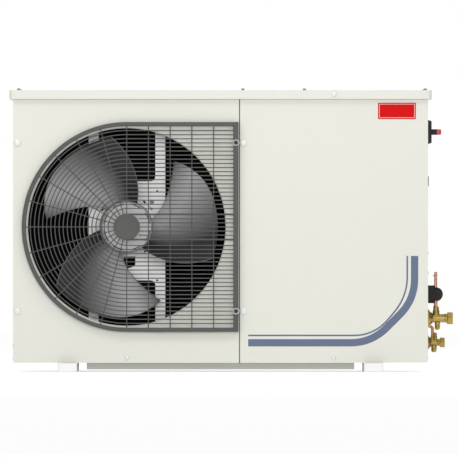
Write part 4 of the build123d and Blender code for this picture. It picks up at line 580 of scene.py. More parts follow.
# Plain zinc washers under the guard's screws, paler than the screws.
WASHER = Finish("plain_zinc_washer", "zinc_fastener", "#B4B4B2", Grain.CAST, 0.8, 0.004, 0.5,
                metallic=0.3, tone=0.04)
# Plastic-coated steel wire: mid grey and semi-matt, thickly flowed over the welds.
GUARD = Finish("grey_coated_wire", "guard_coating", "#484847", Grain.SPRAYED, 1.2, 0.012,
               0.44)
# The same coating made a little paler on the thin wires: painted light for the light that
# round wires catch from the front.
WIRE_COAT_PAINTED_LIGHT = Finish("grey_coated_wire_painted_light", "guard_coating", "#545453", Grain.SPRAYED, 1.2,
                   0.012, 0.44)
# Glass-filled nylon moulding: grey and a little metallic, with painted shade that darkens it
# towards the trailing edge and, near the tip, towards the leading edge.
BLADE = Finish("grey_nylon_blade", "fan_plastic", "#B0B0B0", Grain.MOULDED, 0.7, 0.004, 0.42,
               metallic=0.35, wear=0.05, painted_shade=0.93)
# The same moulding left pale on the hub's face.
FACE = Finish("pale_nylon_hub", "fan_plastic", "#DCDCDB", Grain.MOULDED, 0.7, 0.004, 0.45,
              tone=0.02)
# Die-cast aluminium, shot-blasted: pale and soft grey.
HUB = Finish("die_cast_hub", "motor_alloy", "#D4D4D3", Grain.CAST, 0.9, 0.01, 0.42,
             metallic=0.25)
# Black stoving enamel on the rotor can: glossy and thin.
ROTOR = Finish("black_enamel_can", "motor_can", "#1F1F21", Grain.SPRAYED, 1.4, 0.006, 0.28)
# Ground bearing steel: bright, with fine turning lines.
STEEL = Finish("ground_bearing_steel", "bearing_steel", "#C4C4C6", Grain.DRAWN, 0.5, 0.002,
               0.2, metallic=1.0)
# Brazed aluminium of tubes and headers, near black like the fins: painted shade for the dark
# inside of the unit.
COIL = Finish("coil_aluminium_painted_shade", "coil_aluminium", "#070708", Grain.CAST, 1.0, 0.008,
              0.6, ior=1.2, tone=0.05)
# Fin stock, near black and dull: painted shade for the dark inside of the unit.
FIN = Finish("coil_fin_painted_shade", "coil_fin", "#060607", Grain.DRAWN, 1.2, 0.004, 0.6,
             ior=1.2)
# Gloss black enamel on the compressor's deep-drawn shell.
ENAMEL = Finish("black_gloss_enamel", "compressor_black", "#141415", Grain.SPRAYED, 2.0,
                0.01, 0.18, coat=0.4)
# Moulded natural rubber: matt black with a grey bloom.
RUBBER = Finish("moulded_rubber", "rubber_black", "#1C1C1C", Grain.MOULDED, 0.8, 0.01, 0.75)
# Closed-cell elastomer foam: soft black, with fine pores and almost no gloss.
FOAM = Finish("closed_cell_foam", "foam_black", "#1D1D1D", Grain.FOAMED, 2.2, 0.5, 0.82,
              tone=0.25)
# Moulded flame-proof plastic of the terminal cover.
COVER = Finish("black_moulded_cover", "cover_black", "#202022", Grain.MOULDED, 0.7, 0.01, 0.5)
# Blue hammer enamel on the receiver, and white enamel on the drier.
RECEIVER = Finish("blue_receiver_enamel", "receiver_paint", "#24405F", Grain.SPRAYED, 2.4,
                  0.02, 0.34)
DRIER = Finish("white_drier_enamel", "drier_paint", "#E4E4E0", Grain.SPRAYED, 1.8, 0.01, 0.3)
# Drawn copper tube: warm and bright, with dull patches from brazing.
COPPER = Finish("drawn_copper", "copper", "#D49A80", Grain.DRAWN, 1.2, 0.004, 0.26,
                metallic=1.0, tone=0.08, wear=0.1, stretch=(1.0, 1.0, 0.15))
# Forged and turned brass: yellow, half bright, with darker tarnish in patches.
BRASS = Finish("turned_brass", "brass_valve", "#A38D4D", Grain.CAST, 1.0, 0.008, 0.34,
               metallic=1.0, tone=0.08, wear=0.1, clouds_mm=14.0)
# Moulded plastics of the controls.
TERMINAL = Finish("cream_terminal_plastic", "terminal_plastic", "#D9D6C8", Grain.MOULDED, 0.6,
                  0.006, 0.5)
CONTROL = Finish("grey_control_plastic", "control_plastic", "#54575A", Grain.MOULDED, 0.6,
                 0.006, 0.48)
SWITCH_BLACK = Finish("black_switch_plastic", "switch_black", "#0C0C0D", Grain.MOULDED, 0.6,
                      0.008, 0.42)
SWITCH_RED = Finish("red_switch_plastic", "switch_red", "#C93A3E", Grain.MOULDED, 0.6, 0.006,
                    0.32, coat=0.15)
GLAND = Finish("black_gland_nylon", "gland_black", "#1A1A1B", Grain.MOULDED, 0.6, 0.008, 0.5)
# Printed film: slate blue, smooth and thin.
FILM = Finish("slate_printed_film", "cabinet_paint", "#6A7791", Grain.MOULDED, 0.8, 0.002,
              0.45, ior=1.3, tone=0.015)
# Moulded white caps pressed over the panel screws: smooth and glossy.
CAP = Finish("white_screw_cap", "cabinet_paint", "#F0F0EC", Grain.MOULDED, 0.8, 0.002, 0.18,
             tone=0.01, coat=0.5)
# Bright white polyethylene plugs in the ends of the foot rails.
PLUG = Finish("white_polyethylene", "cabinet_paint", "#FCFCFC", Grain.MOULDED, 0.8, 0.003, 0.5,
              tone=0.005)
# Red enamel on the blank front plate.
PLATE = Finish("red_enamel_plate", "switch_red", "#DC0208", Grain.SPRAYED, 2.0, 0.006, 0.45,
               ior=1.2, tone=0.015)

FOOT_RAILS = ("foot_rail_left", "foot_rail_right")
PAINTED_SHEETS = ("base_pan", "fan_front_panel", "service_panel", "left_side_panel",
                  "right_side_panel", "rear_panel", "top_lid") + FOOT_RAILS

NODE_FINISHES: dict[Finish, tuple[str, ...]] = {
    PAINT: PAINTED_SHEETS + ("screws",),
    GALVANISED: ("partition", "condenser_frame", "compressor_feet", "receiver_strap",
                 "electrical_box", "electrical_cover"),
    BRACKET: ("motor_bracket", "top_brace"),
    PRIMED: ("base_stiffeners",),
    DULL_ZINC: ("motor_bolts", "compressor_bolts", "guard_fixings"),
    GUARD: ("guard_frame", "guard_rings", "guard_spokes", "guard_disc", "coil_guard"),
    BLADE: ("fan_impeller",),
    ROTOR: ("fan_rotor",),
    HUB: ("fan_stator",),
    STEEL: ("fan_bearings", "suction_valve_stem", "liquid_valve_stem"),
    COIL: ("condenser_headers", "condenser_tubes"),
    FIN: ("condenser_fins",),
    ENAMEL: ("compressor_shell",),
    RUBBER: ("compressor_grommets",),
    COVER: ("terminal_cover",),
    RECEIVER: ("liquid_receiver",),
    DRIER: ("filter_drier",),
    BRASS: ("sight_glass", "valve_bodies", "valve_nuts", "valve_caps"),
    COPPER: ("discharge_line", "condensate_line", "drier_line", "liquid_line", "suction_line",
             "suction_riser"),
    FOAM: ("suction_insulation",),
    CONTROL: ("contactor", "run_capacitor", "switch_body"),
    TERMINAL: ("terminal_block",),
    SWITCH_BLACK: ("switch_plate", "switch_shaft"),
    SWITCH_RED: ("switch_handle",),
    GLAND: ("cable_glands",),
}


def dress(piece: bpy.types.Object, finish: Finish, body: str) -> None:
    """Gives a piece its finish and the body it moves with, and reports it."""
    piece.data.materials.clear()
    piece.data.materials.append(finish.material())
    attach(piece, body)
    LOG.info("%s: %d faces, %s", piece.name, len(piece.data.polygons), finish.name)


def finished(shell: Shell, name: str, finish: Finish, stands_for: str | None = None,
             body: str = "cabinet", crease: float = CREASE) -> None:
    """Makes the piece of a shell and dresses it.

    Args:
        shell: The gathered surface.
        name: Name of the piece.
        finish: What it is made of.
        stands_for: The solid that it replaces, if there is one.
        body: Name of the body it moves with.
        crease: Angle in degrees from which an edge stays sharp.
    """
    piece = shell.piece(name, crease)
    if stands_for:
        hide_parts(stands_for)
    dress(piece, finish, body)


# ---- studio ------------------------------------------------------------------------------
# Name, place and size in metres, and power in watts of each lamp.
LAMPS = (
    ("front_soft", (0.0, -5.0, 1.4), (2.6, 1.8), 57.0),
    ("key_left", (-1.9, -2.0, 3.0), (1.4, 0.9), 25.0),
    ("key_right", (1.5, -1.8, 3.0), (1.0, 0.8), 11.0),
    ("top_soft", (0.2, -0.6, 3.2), (2.4, 1.6), 19.0),
    ("back_soft", (1.6, 3.8, 1.8), (2.4, 1.6), 38.0),
)


@dataclass
class Studio:
    """White floor, even sky light, five soft lamps and a long lens straight from the front."""

    frame_width: float = 1128.0
    look_x: float = 20.9
    look_z: float = 352.2
    lens: float = 1300.0
    sensor: float = 36.0
    floor_size: float = 30000.0
    sky: float = 0.42
    floor_lift: float = 0.6

    def build(self) -> None:
        """Sets up the camera, the floor, the sky and the lamps."""
        scene = bpy.context.scene
        scene.view_settings.view_transform = "Standard"
        self.camera(scene)
        self.floor()
        self.sky_light(scene)
        for name, place, size, power in LAMPS:
            self.lamp(name, place, size, power)

    def camera(self, scene: bpy.types.Scene) -> None:
        """Adds the camera, far off, so that its view is nearly parallel."""
        data = bpy.data.cameras.new("camera")
        data.lens = self.lens
        data.sensor_width = self.sensor
        away = self.frame_width * self.lens / self.sensor
        data.clip_end = 2 * away * MM
        made = bpy.data.objects.new("camera", data)
        made.location = (self.look_x * MM, (FRONT - away) * MM, self.look_z * MM)
        made.rotation_euler = (math.pi / 2, 0, 0)
        scene.collection.objects.link(made)
        scene.camera = made

    def floor(self) -> None:
        """Adds the floor: white where the sky lights it, darker in the unit's shadow."""
        half = self.floor_size / 2
        side = np.linspace(-half, half, 5)
        points = np.stack(np.meshgrid(side, side, [0.0], indexing="ij"), axis=-1)[:, :, 0]
        shell = Shell()
        shell.grid(points)
        made = shell.piece("floor")
        if made.data.polygons[0].normal.z < 0:
            made.data.flip_normals()
        material = bpy.data.materials.new("studio_floor")
        tree = blank_tree(material)
        paths = node(tree, "LightPath").outputs
        seen = maths(tree, "MAXIMUM", paths["Is Camera Ray"], paths["Is Glossy Ray"])
        place = node(tree, "TexCoord").outputs["Object"]
        haze = node(tree, "TexNoise", {"Vector": place, "Scale": 3.0}).outputs["Fac"]
        tint = ramp(tree, haze, (0.88, 0.88, 0.88, 1.0), (0.90, 0.90, 0.90, 1.0))
        matt = node(tree, "BsdfDiffuse", {"Color": tint}).outputs[0]
        lift = maths(tree, "MULTIPLY", seen, self.floor_lift)
        glow = node(tree, "Emission", {"Strength": lift}).outputs[0]
        both = node(tree, "AddShader", {0: matt, 1: glow}).outputs[0]
        node(tree, "OutputMaterial", {"Surface": both})
        made.data.materials.append(material)

    def sky_light(self, scene: bpy.types.Scene) -> None:
        """Lights the unit evenly from all round; the camera and mirrors see plain white."""
        world = bpy.data.worlds.new("studio_sky")
        tree = blank_tree(world)
        paths = node(tree, "LightPath").outputs
        even = node(tree, "Background", {"Color": (1, 1, 1, 1), "Strength": self.sky})
        white = node(tree, "Background", {"Color": (1, 1, 1, 1), "Strength": 1.0})
        mixed = node(tree, "MixShader", {0: paths["Is Camera Ray"], 1: even.outputs[0],
                                         2: white.outputs[0]})
        node(tree, "OutputWorld", {"Surface": mixed.outputs[0]})
        scene.world = world

    def lamp(self, name: str, place: tuple[float, float, float], size: tuple[float, float],
             power: float) -> None:
        """Adds one soft lamp of the table, which faces the middle of the unit."""
        data = bpy.data.lights.new(name, "AREA")
        data.shape = "RECTANGLE"
        data.size, data.size_y = size
        data.energy = power
        made = bpy.data.objects.new(name, data)
        made.location = place
        aim = np.array([0.0, 0.0, self.look_z * MM]) - np.array(place)
        made.rotation_euler = (math.atan2(math.hypot(aim[0], aim[1]), -aim[2]), 0,
                               math.atan2(-aim[0], aim[1]))
        bpy.context.scene.collection.objects.link(made)


# ---- fan guard ---------------------------------------------------------------------------
@dataclass
class FanGuard:
    """Welded wire guard: half round on the left, square on the right, in a folded frame."""

    radius: float = 258.3
    band: float = 10.3
    right: float = 275.3
    right_band: float = 12.5
    depth: float = 14.0
    wall: float = 2.0
    fold: float = 2.4
    wire: float = 2.5
    first_ring: float = 45.5
    pitch: float = 10.1
    rings: int = 20
    upright_pitch: float = 53.5
    spoke_angle: int = 15
    disc: float = 32.5
    disc_front: float = 16.0
    rod: float = 4.4
    rod_offset: float = 31.0
    tuck: float = 2.0
    sunk: float = 1.5
    bar_lap: float = 3.0
    spoke_lap: float = 5.0
    spoke_level: float = 1.42
    bars: int = 2
    uprights: int = 4

    def build(self) -> None:
        """Makes the frame, both layers of wire and the disc."""
        self.frame_band()
        self.ring_layer()
        self.spoke_layer()
        self.centre_disc()

    def right_end(self) -> float:
        """Distance from the fan axis at which wires end, tucked under the right-hand band."""
        return self.right - self.right_band + self.tuck

    def level(self, behind: float) -> float:
        """Y at a distance behind the front of the wires, which lie sunk in the band."""
        return FRONT - self.depth + self.sunk + behind

    def outline(self, radius: float, right: float, steps: int) -> Array:
        """Half circle of a radius on the left, run on as straight sides to the right.

        Points on the half circle are the fan axis plus the radius times the cosine and sine of
        angles from 90 to 270 degrees.

        Args:
            radius: Radius of the half circle.
            right: Distance from the fan axis to the right-hand ends.
            steps: Points on the half circle, less one.

        Returns:
            (x, z) points from the upper right end to the lower right end.
        """
        angle = np.radians(np.linspace(90, 270, steps + 1))
        arc = radius * np.stack([np.cos(angle), np.sin(angle)], axis=1)
        ends = np.array([[right, radius], [right, -radius]])
        return np.concatenate([ends[:1], arc, ends[1:]]) + FAN[[0, 2]]

    def frame_band(self) -> None:
        """Folded channel round the guard, open towards the panel."""
        path = self.outline(self.radius - self.band / 2, self.right - self.band / 2, 96)
        share = self.wall / self.band
        outer = self.channel_side(0.5, self.depth, self.fold)
        inner = self.channel_side(0.5 - share, self.depth - self.wall, self.fold * 0.4)[::-1]
        section = np.concatenate([outer, inner])
        section[:, 0] *= self.band
        shell = Shell()
        swept(shell, path, section, FRONT, closed=True)
        inside = self.right - self.right_band + self.band / 2
        edge = np.array([[inside, self.radius - 2], [inside, 2 - self.radius]]) + FAN[[0, 2]]
        swept(shell, edge, section, FRONT + 0.05)
        finished(shell, "guard_band", GUARD, "guard_frame", crease=40.0)

    def channel_side(self, half: float, height: float, fold: float) -> Array:
        """Outline of a channel from foot to foot, its two upper corners rounded.

        Each corner is a quarter circle of the fold's radius, squeezed to the section's width.

        Args:
            half: Half the width, as a share of the band.
            height: Height of the channel.
            fold: Radius of the fold.

        Returns:
            (share, height) points.
        """
        angle = np.radians(np.linspace(0, 90, 6))
        across = fold / self.band
        left = np.stack([-half + across * (1 - np.cos(angle)),
                         height - fold * (1 - np.sin(angle))], axis=1)
        right = np.stack([-left[::-1, 0], left[::-1, 1]], axis=1)
        return np.concatenate([[[-half, 0.0]], left, right, [[half, 0.0]]])

    def ring_layer(self) -> None:
        """Front layer: concentric wires that run on to the right, and short bars between."""
        shell = Shell()
        reach, depth = self.right_end(), self.level(self.wire / 2)
        section = circle(self.wire / 2, 10)
        for ring in range(self.rings):
            radius = self.first_ring + ring * self.pitch
            swept(shell, self.outline(radius, reach, 24 + 3 * ring), section, depth)
        for step in range(-self.bars, self.bars + 1):
            z = FAN[2] + step * self.pitch
            bar(shell, (FAN[0] + self.disc - self.bar_lap, depth, z),
                (FAN[0] + reach, depth, z), self.wire / 2)
        finished(shell, "guard_ring_wires", WIRE_COAT_PAINTED_LIGHT, "guard_rings", crease=60.0)

    def spoke_layer(self) -> None:
        """Rear layer: spokes on the left and uprights on the right, welded to the rings."""
        shell = Shell()
        reach = self.radius - self.band + self.tuck
        depth = self.level(self.wire * self.spoke_level)
        start = self.disc - self.spoke_lap
        for angle in np.radians(np.arange(90, 271, self.spoke_angle)):
            across = np.array([math.cos(angle), 0.0, math.sin(angle)])
            centre = np.array([FAN[0], depth, FAN[2]])
            bar(shell, centre + start * across, centre + reach * across, self.wire / 2)
        for step in range(1, self.uprights + 1):
            x = FAN[0] + step * self.upright_pitch
            bar(shell, (x, depth, FAN[2] - reach), (x, depth, FAN[2] + reach), self.wire / 2)
        finished(shell, "guard_spoke_wires", WIRE_COAT_PAINTED_LIGHT, "guard_spokes", crease=60.0)

    def centre_disc(self) -> None:
        """Pressed disc with a rolled edge, and the two stout rods that carry it."""
        shell = Shell()
        front = FRONT - self.disc_front
        edge = rounded([(-4.6, 0), (-4.6, self.disc), (0.0, self.disc), (0.0, self.disc - 6),
                        (-0.5, self.disc - 7), (-0.5, 0)], 1.6, 4)
        turned(shell, Axis.FORWARD, (FAN[0], front, FAN[2]), edge, 64)
        reach, depth = self.right_end(), self.level(self.wire - self.rod / 2)
        for side in (-1, 1):
            z = FAN[2] + side * self.rod_offset
            bar(shell, (FAN[0], depth, z), (FAN[0] + reach, depth, z), self.rod / 2, 14)
        finished(shell, "guard_centre_disc", GUARD, "guard_disc", crease=40.0)


# ---- cabinet -----------------------------------------------------------------------------
@dataclass
class Cabinet:
    """Folded sheet panels with rounded folds, painted seam shade, plugs, and the front's prints.
    """

    fold: float = 0.5
    seam: float = 2.2
    lid_shadow_height: float = 0.6
    foot_wall: float = 2.0
    plug_play: float = 0.3
    plate_centre: tuple[float, float] = (434.5, 643.0)
    plate_size: tuple[float, float] = (93.0, 40.0)
    plate_rise: float = 0.9
    line_inset: float = 3.4
    wide: float = 18.0
    thin: float = 4.0
    between: float = 7.0
    print_rise: float = 0.15
    print_corner: float = 52.0
    route: tuple[tuple[float, float], ...] = ((478.0, 286.0), (478.0, 178.0), (372.0, 72.0),
                                              (68.0, 72.0))

    def build(self) -> None:
        """Makes the panels, painted seam shade, plugs, plate and stripes."""
        for name in PAINTED_SHEETS:
            dress(edged_copy(name, name + "_sheet", self.fold), PAINT, "cabinet")
        self.painted_seam_shade()
        self.plugs()
        self.plate()
        self.stripes()

    def painted_seam_shade(self) -> None:
        """Black strips over the seam between both front panels and under the lid's edge: painted
        shade for the gap and for the lid's shadow.
        """
        low, high = span("service_panel", 2)
        left, right = span("base_pan", 0)
        lid = span("top_lid", 2)[0]
        seam = span("service_panel", 0)[0] - 0.2
        shell = Shell()
        for x, z, width, height in (
                (seam, (low + high) / 2, self.seam, high - low),
                ((left + right) / 2, lid - self.lid_shadow_height / 2, right - left, self.lid_shadow_height)):
            lofted(shell, Axis.FORWARD, (x, FRONT, z), rectangle(width, height),
                   [(-1.0, 0.0), (self.print_rise, 0.0)])
        finished(shell, "panel_seam_painted_shade", RUBBER)

    def plugs(self) -> None:
        """White moulded plugs that close the open ends of the foot rails."""
        shell = Shell()
        for rail in FOOT_RAILS:
            (left, right), (front, back), (low, high) = (span(rail, i) for i in range(3))
            corners = rectangle(right - left - 2 * self.foot_wall - self.plug_play,
                                high - low - self.foot_wall - self.plug_play)
            for axis, y in ((Axis.FORWARD, front), (Axis.BACK, back)):
                lofted(shell, axis, ((left + right) / 2, y, (low + self.foot_wall + high) / 2),
                       rounded(corners, 1.0, 3, True), [(-3.3, 0.0), (-0.8, 0.0), (-0.4, 0.4)])
        finished(shell, "foot_rail_plugs", PLUG)

    def plate(self) -> None:
        """Blank enamelled plate, with a thin white line let in round its edge."""
        x, z = self.plate_centre
        plate, line, inset = Shell(), Shell(), 2 * self.line_inset
        lofted(plate, Axis.FORWARD, (x, FRONT, z),
               rounded(rectangle(*self.plate_size), 1.4, 4, True),
               [(-0.3, 0.0), (self.plate_rise - 0.2, 0.0), (self.plate_rise, 0.25)])
        finished(plate, "front_plate", PLATE)
        inner = rectangle(*(size - inset for size in self.plate_size))
        swept(line, rounded(inner, 1.2, 4, True) + (x, z),
              [(-0.45, -0.1), (-0.45, 0.1), (0.45, 0.1), (0.45, -0.1)],
              FRONT - self.plate_rise, closed=True)
        finished(line, "front_plate_line", PAINT)

    def stripes(self) -> None:
        """A wide and a thin printed stripe, side by side, with rounded corners."""
        route = np.array(self.route)
        step = (self.wide + self.thin) / 2 + self.between
        shell = Shell()
        for width, shift in ((self.wide, 0.0), (self.thin, -step)):
            corner = shift * math.tan(math.radians(22.5))
            moved = route + np.array([(shift, 0.0), (shift, -corner), (-corner, -shift),
                                      (0.0, -shift)])
            half, rise = width / 2, self.print_rise
            swept(shell, rounded(moved, self.print_corner, 12),
                  [(-half, -0.1), (-half, rise), (half, rise), (half, -0.1)], FRONT)
        finished(shell, "front_stripes", FILM, crease=60.0)


# ---- screws ------------------------------------------------------------------------------
def puck(radius: float, low: float, high: float) -> list[tuple[float, float]]:
    """Outline of a plain round disc between two heights."""
    return [(low, 0.0), (low, radius), (high, radius), (high, 0.0)]


def domed(radius: float, edge: float, head: float, steps: int = 7) -> Array:
    """Outline of a domed head: a short straight edge, then a quarter of an ellipse."""
    angle = np.radians(np.linspace(90, 0, steps))
    dome = np.stack([edge + (head - edge) * np.cos(angle), radius * np.sin(angle)], axis=1)
    return np.concatenate([[(-0.6, 0.0), (-0.6, radius)], dome])


def slotted_head(shell: Shell, axis: Axis, centre: Place, radius: float, head: float,
                 turn: float) -> None:
    """Adds a low domed head with a straight slot across it.

    Columns run across the slot and rows along it: x = R u, y = R v sqrt(1 - u^2), so that the
    grid fills the disc. The height is the head's less 0.35 of it times (x^2 + y^2) / R^2, and
    lower by the slot's depth between the slot's walls. The rim falls to the face.

    Args:
        shell: The shell that gets it.
        axis: Direction of the head.
        centre: Middle of the head on the face.
        radius: Radius of the head.
        head: Height of the head.
        turn: Angle of the slot in degrees.
    """
    slot, foot = 0.14, -0.5
    across = np.array([-1, -0.8, -0.5, -slot, -slot, slot, slot, 0.5, 0.8, 1])
    sunk = np.array([0, 0, 0, 0, 1, 1, 0, 0, 0, 0]) * head * 0.5
    along = np.array([-1, -1, -0.75, -0.4, 0, 0.4, 0.75, 1, 1])
    u, v = np.meshgrid(across, along)
    x, y = radius * u, radius * v * np.sqrt(1 - u ** 2)
    height = head * (1 - 0.35 * (u ** 2 + v ** 2 * (1 - u ** 2))) - sunk[None]
    height[[0, -1]] = foot
    cos, sin = math.cos(math.radians(turn)), math.sin(math.radians(turn))
    first, second = x * cos - y * sin, x * sin + y * cos
    shell.grid(axis.place(centre, height, first, second))
    flat = np.full_like(height[1:-1], foot)
    shell.grid(axis.place(centre, flat, first[1:-1], second[1:-1]))


@dataclass
class Fasteners:
    """Screws that show on the cabinet: domed caps, slotted heads and hexagon heads."""

    cap_radius: float = 9.0
    cap_head: float = 4.5
    pan_height: float = 34.0
    pan_radius: float = 5.3
    pan_head: float = 2.6
    side_y: float = 165.0
    hexagon: float = 6.4
    hexagon_head: float = 5.0
    washer: float = 4.6
    guard_x: float = 38.05
    guard_rise: float = 207.5
    guard_washer: float = 7.9
    guard_socket: float = 5.2
    cap_x: tuple[float, float] = (-500.0, 56.0)
    rear_x: tuple[float, float] = (83.0, 500.0)
    panel_z: tuple[float, float] = (150.1, 564.5)
    lid_cap: tuple[float, float, float] = (280.0, 684.5, 6.3)
    shade_ring_rim: float = 0.9
    side_heights: tuple[tuple[Axis, tuple[float, ...]], ...] = (
        (Axis.LEFT, (32.0, 65.8)), (Axis.RIGHT, (32.0, 244.0, 293.0)))
    pan_turns: tuple[tuple[float, float], ...] = ((FAN[0], -32.0), (279.0, -38.0))
    lid_x: tuple[float, ...] = (-498.0, 55.0, 505.0)
    lid_y: float = 150.0
    brace_x: float = 207.0

    def build(self) -> None:
        """Makes the caps, the slotted and hexagon heads and the guard's socket screws."""
        self.caps()
        self.slotted()
        self.hexagons()
        self.guard_screws()

    def caps(self) -> None:
        """Domed caps on the front panels and the lid's rim, on grey discs just wider than them:
        painted shade in a thin ring round each cap.
        """
        x, z, small = self.lid_cap
        large = domed(self.cap_radius, 1.0, self.cap_head, 9)
        caps = [((x, FRONT, z), self.cap_radius, large, 40)
                for x in self.cap_x for z in self.panel_z]
        caps.append(((x, span("top_lid", 1)[0], z), small, domed(small, 0.8, 3.5), 32))
        heads, shade_rings = Shell(), Shell()
        for centre, radius, dome, sides in caps:
            turned(heads, Axis.FORWARD, centre, dome, sides)
            turned(shade_rings, Axis.FORWARD, centre, puck(radius + self.shade_ring_rim, -0.5, 0.25), 40)
        finished(heads, "cap_screw_heads", CAP, "screws")
        finished(shade_rings, "cap_screw_shade_rings", GALVANISED, "screws")

    def slotted(self) -> None:
        """Slotted heads into the base pan, round the sides and on the rear panel."""
        shell = Shell()
        size, small = (self.pan_radius, self.pan_head), (self.pan_radius * 0.8, 2.0)
        heads = [(Axis.FORWARD, (x, FRONT, self.pan_height), size, turn)
                 for x, turn in self.pan_turns]
        heads += [(Axis.BACK, (x, REAR, z), size, 0.3 * z)
                  for x in self.rear_x for z in self.panel_z]
        heads += [(axis, (axis.value[0][0] * WALL, y, z), small, z + y)
                  for axis, heights in self.side_heights
                  for z in heights for y in (-self.side_y, self.side_y)]
        for axis, centre, (radius, head), turn in heads:
            slotted_head(shell, axis, centre, radius, head, turn)
        finished(shell, "slotted_screw_heads", ZINC, "screws")

    def hexagons(self) -> None:
        """Hexagon heads with pressed washers on the lid."""
        shell = Shell()
        top = span("top_lid", 2)[1]
        washer = [(-0.3, 0.0), (-0.3, self.washer), (0.8, self.washer), (1.2, self.washer - 0.5),
                  (1.2, 0.0)]
        places = [(x, y) for x in self.lid_x for y in (-self.lid_y, self.lid_y)]
        for x, y in places + [(self.brace_x, -self.lid_y)]:
            turned(shell, Axis.UP, (x, y, top), washer, 28)
            hexagon_block(shell, Axis.UP, (x, y, top + 1.0), self.hexagon,
                          self.hexagon_head - 1.0, 0.0)
        finished(shell, "hexagon_screw_heads", DULL_ZINC, "screws")

    def guard_screws(self) -> None:
        """Light washers on the guard's frame, with a black disc in each: painted shade for the
        socket.
        """
        washers, socket_shade = Shell(), Shell()
        face = span("guard_frame", 1)[0]
        inner, outer = self.guard_socket, self.guard_washer
        ring = [(-0.5, inner), (-0.5, outer), (1.3, outer), (1.9, outer - 0.8),
                (1.9, inner + 0.5), (1.5, inner), (-0.5, inner)]
        for side in (-1, 1):
            place = (self.guard_x, face, FAN[2] + side * self.guard_rise)
            turned(washers, Axis.FORWARD, place, ring, 32)
            turned(socket_shade, Axis.FORWARD, place, puck(inner, -0.6, 0.4), 24)
        finished(washers, "guard_washers", WASHER, "guard_fixings")
        finished(socket_shade, "guard_socket_shade", GLAND, "guard_fixings")


def hexagon_block(shell: Shell, axis: Axis, centre: Place, across: float, length: float,
                  bore: float, both: bool = False) -> None:
    """Adds a hexagon with turned-off corners, bored through if its bore is above zero.

    At angle a the flat lies at (across / 2) / cos(a mod 60 - 30); the turning cone lies at
    across / 2 plus 1.7 times the distance from the end. The radius is the smaller of the two.

    Args:
        shell: The shell that gets it.
        axis: Direction of its length.
        centre: Middle of its lower end.
        across: Size across the flats.
        length: Its length.
        bore: Radius of its bore.
        both: Whether both ends are turned off.
    """
    sides = 48
    angle = full_turn(sides)
    flat = across / 2 / np.cos(np.mod(angle, np.pi / 3) - np.pi / 6)
    deep = across * 0.09
    low = np.array([0, 0.35, 0.7, 1.0]) * deep if both else np.array([0.0])
    height = np.concatenate([low, length - np.array([1.0, 0.7, 0.35, 0]) * deep])
    reach = length - height
    if both:
        reach = np.minimum(reach, height)
    radius = np.minimum(flat[None], across / 2 + 1.7 * reach[:, None])
    inner = np.full((1, sides), max(bore, 0.0))
    radius = np.concatenate([inner, radius, inner] + ([inner] if bore else []))
    ends = [height[:1], height, height[-1:]] + ([height[:1]] if bore else [])
    along = np.repeat(np.concatenate(ends)[:, None], sides, axis=1)
    spun(shell, axis, centre, along, radius, angle)


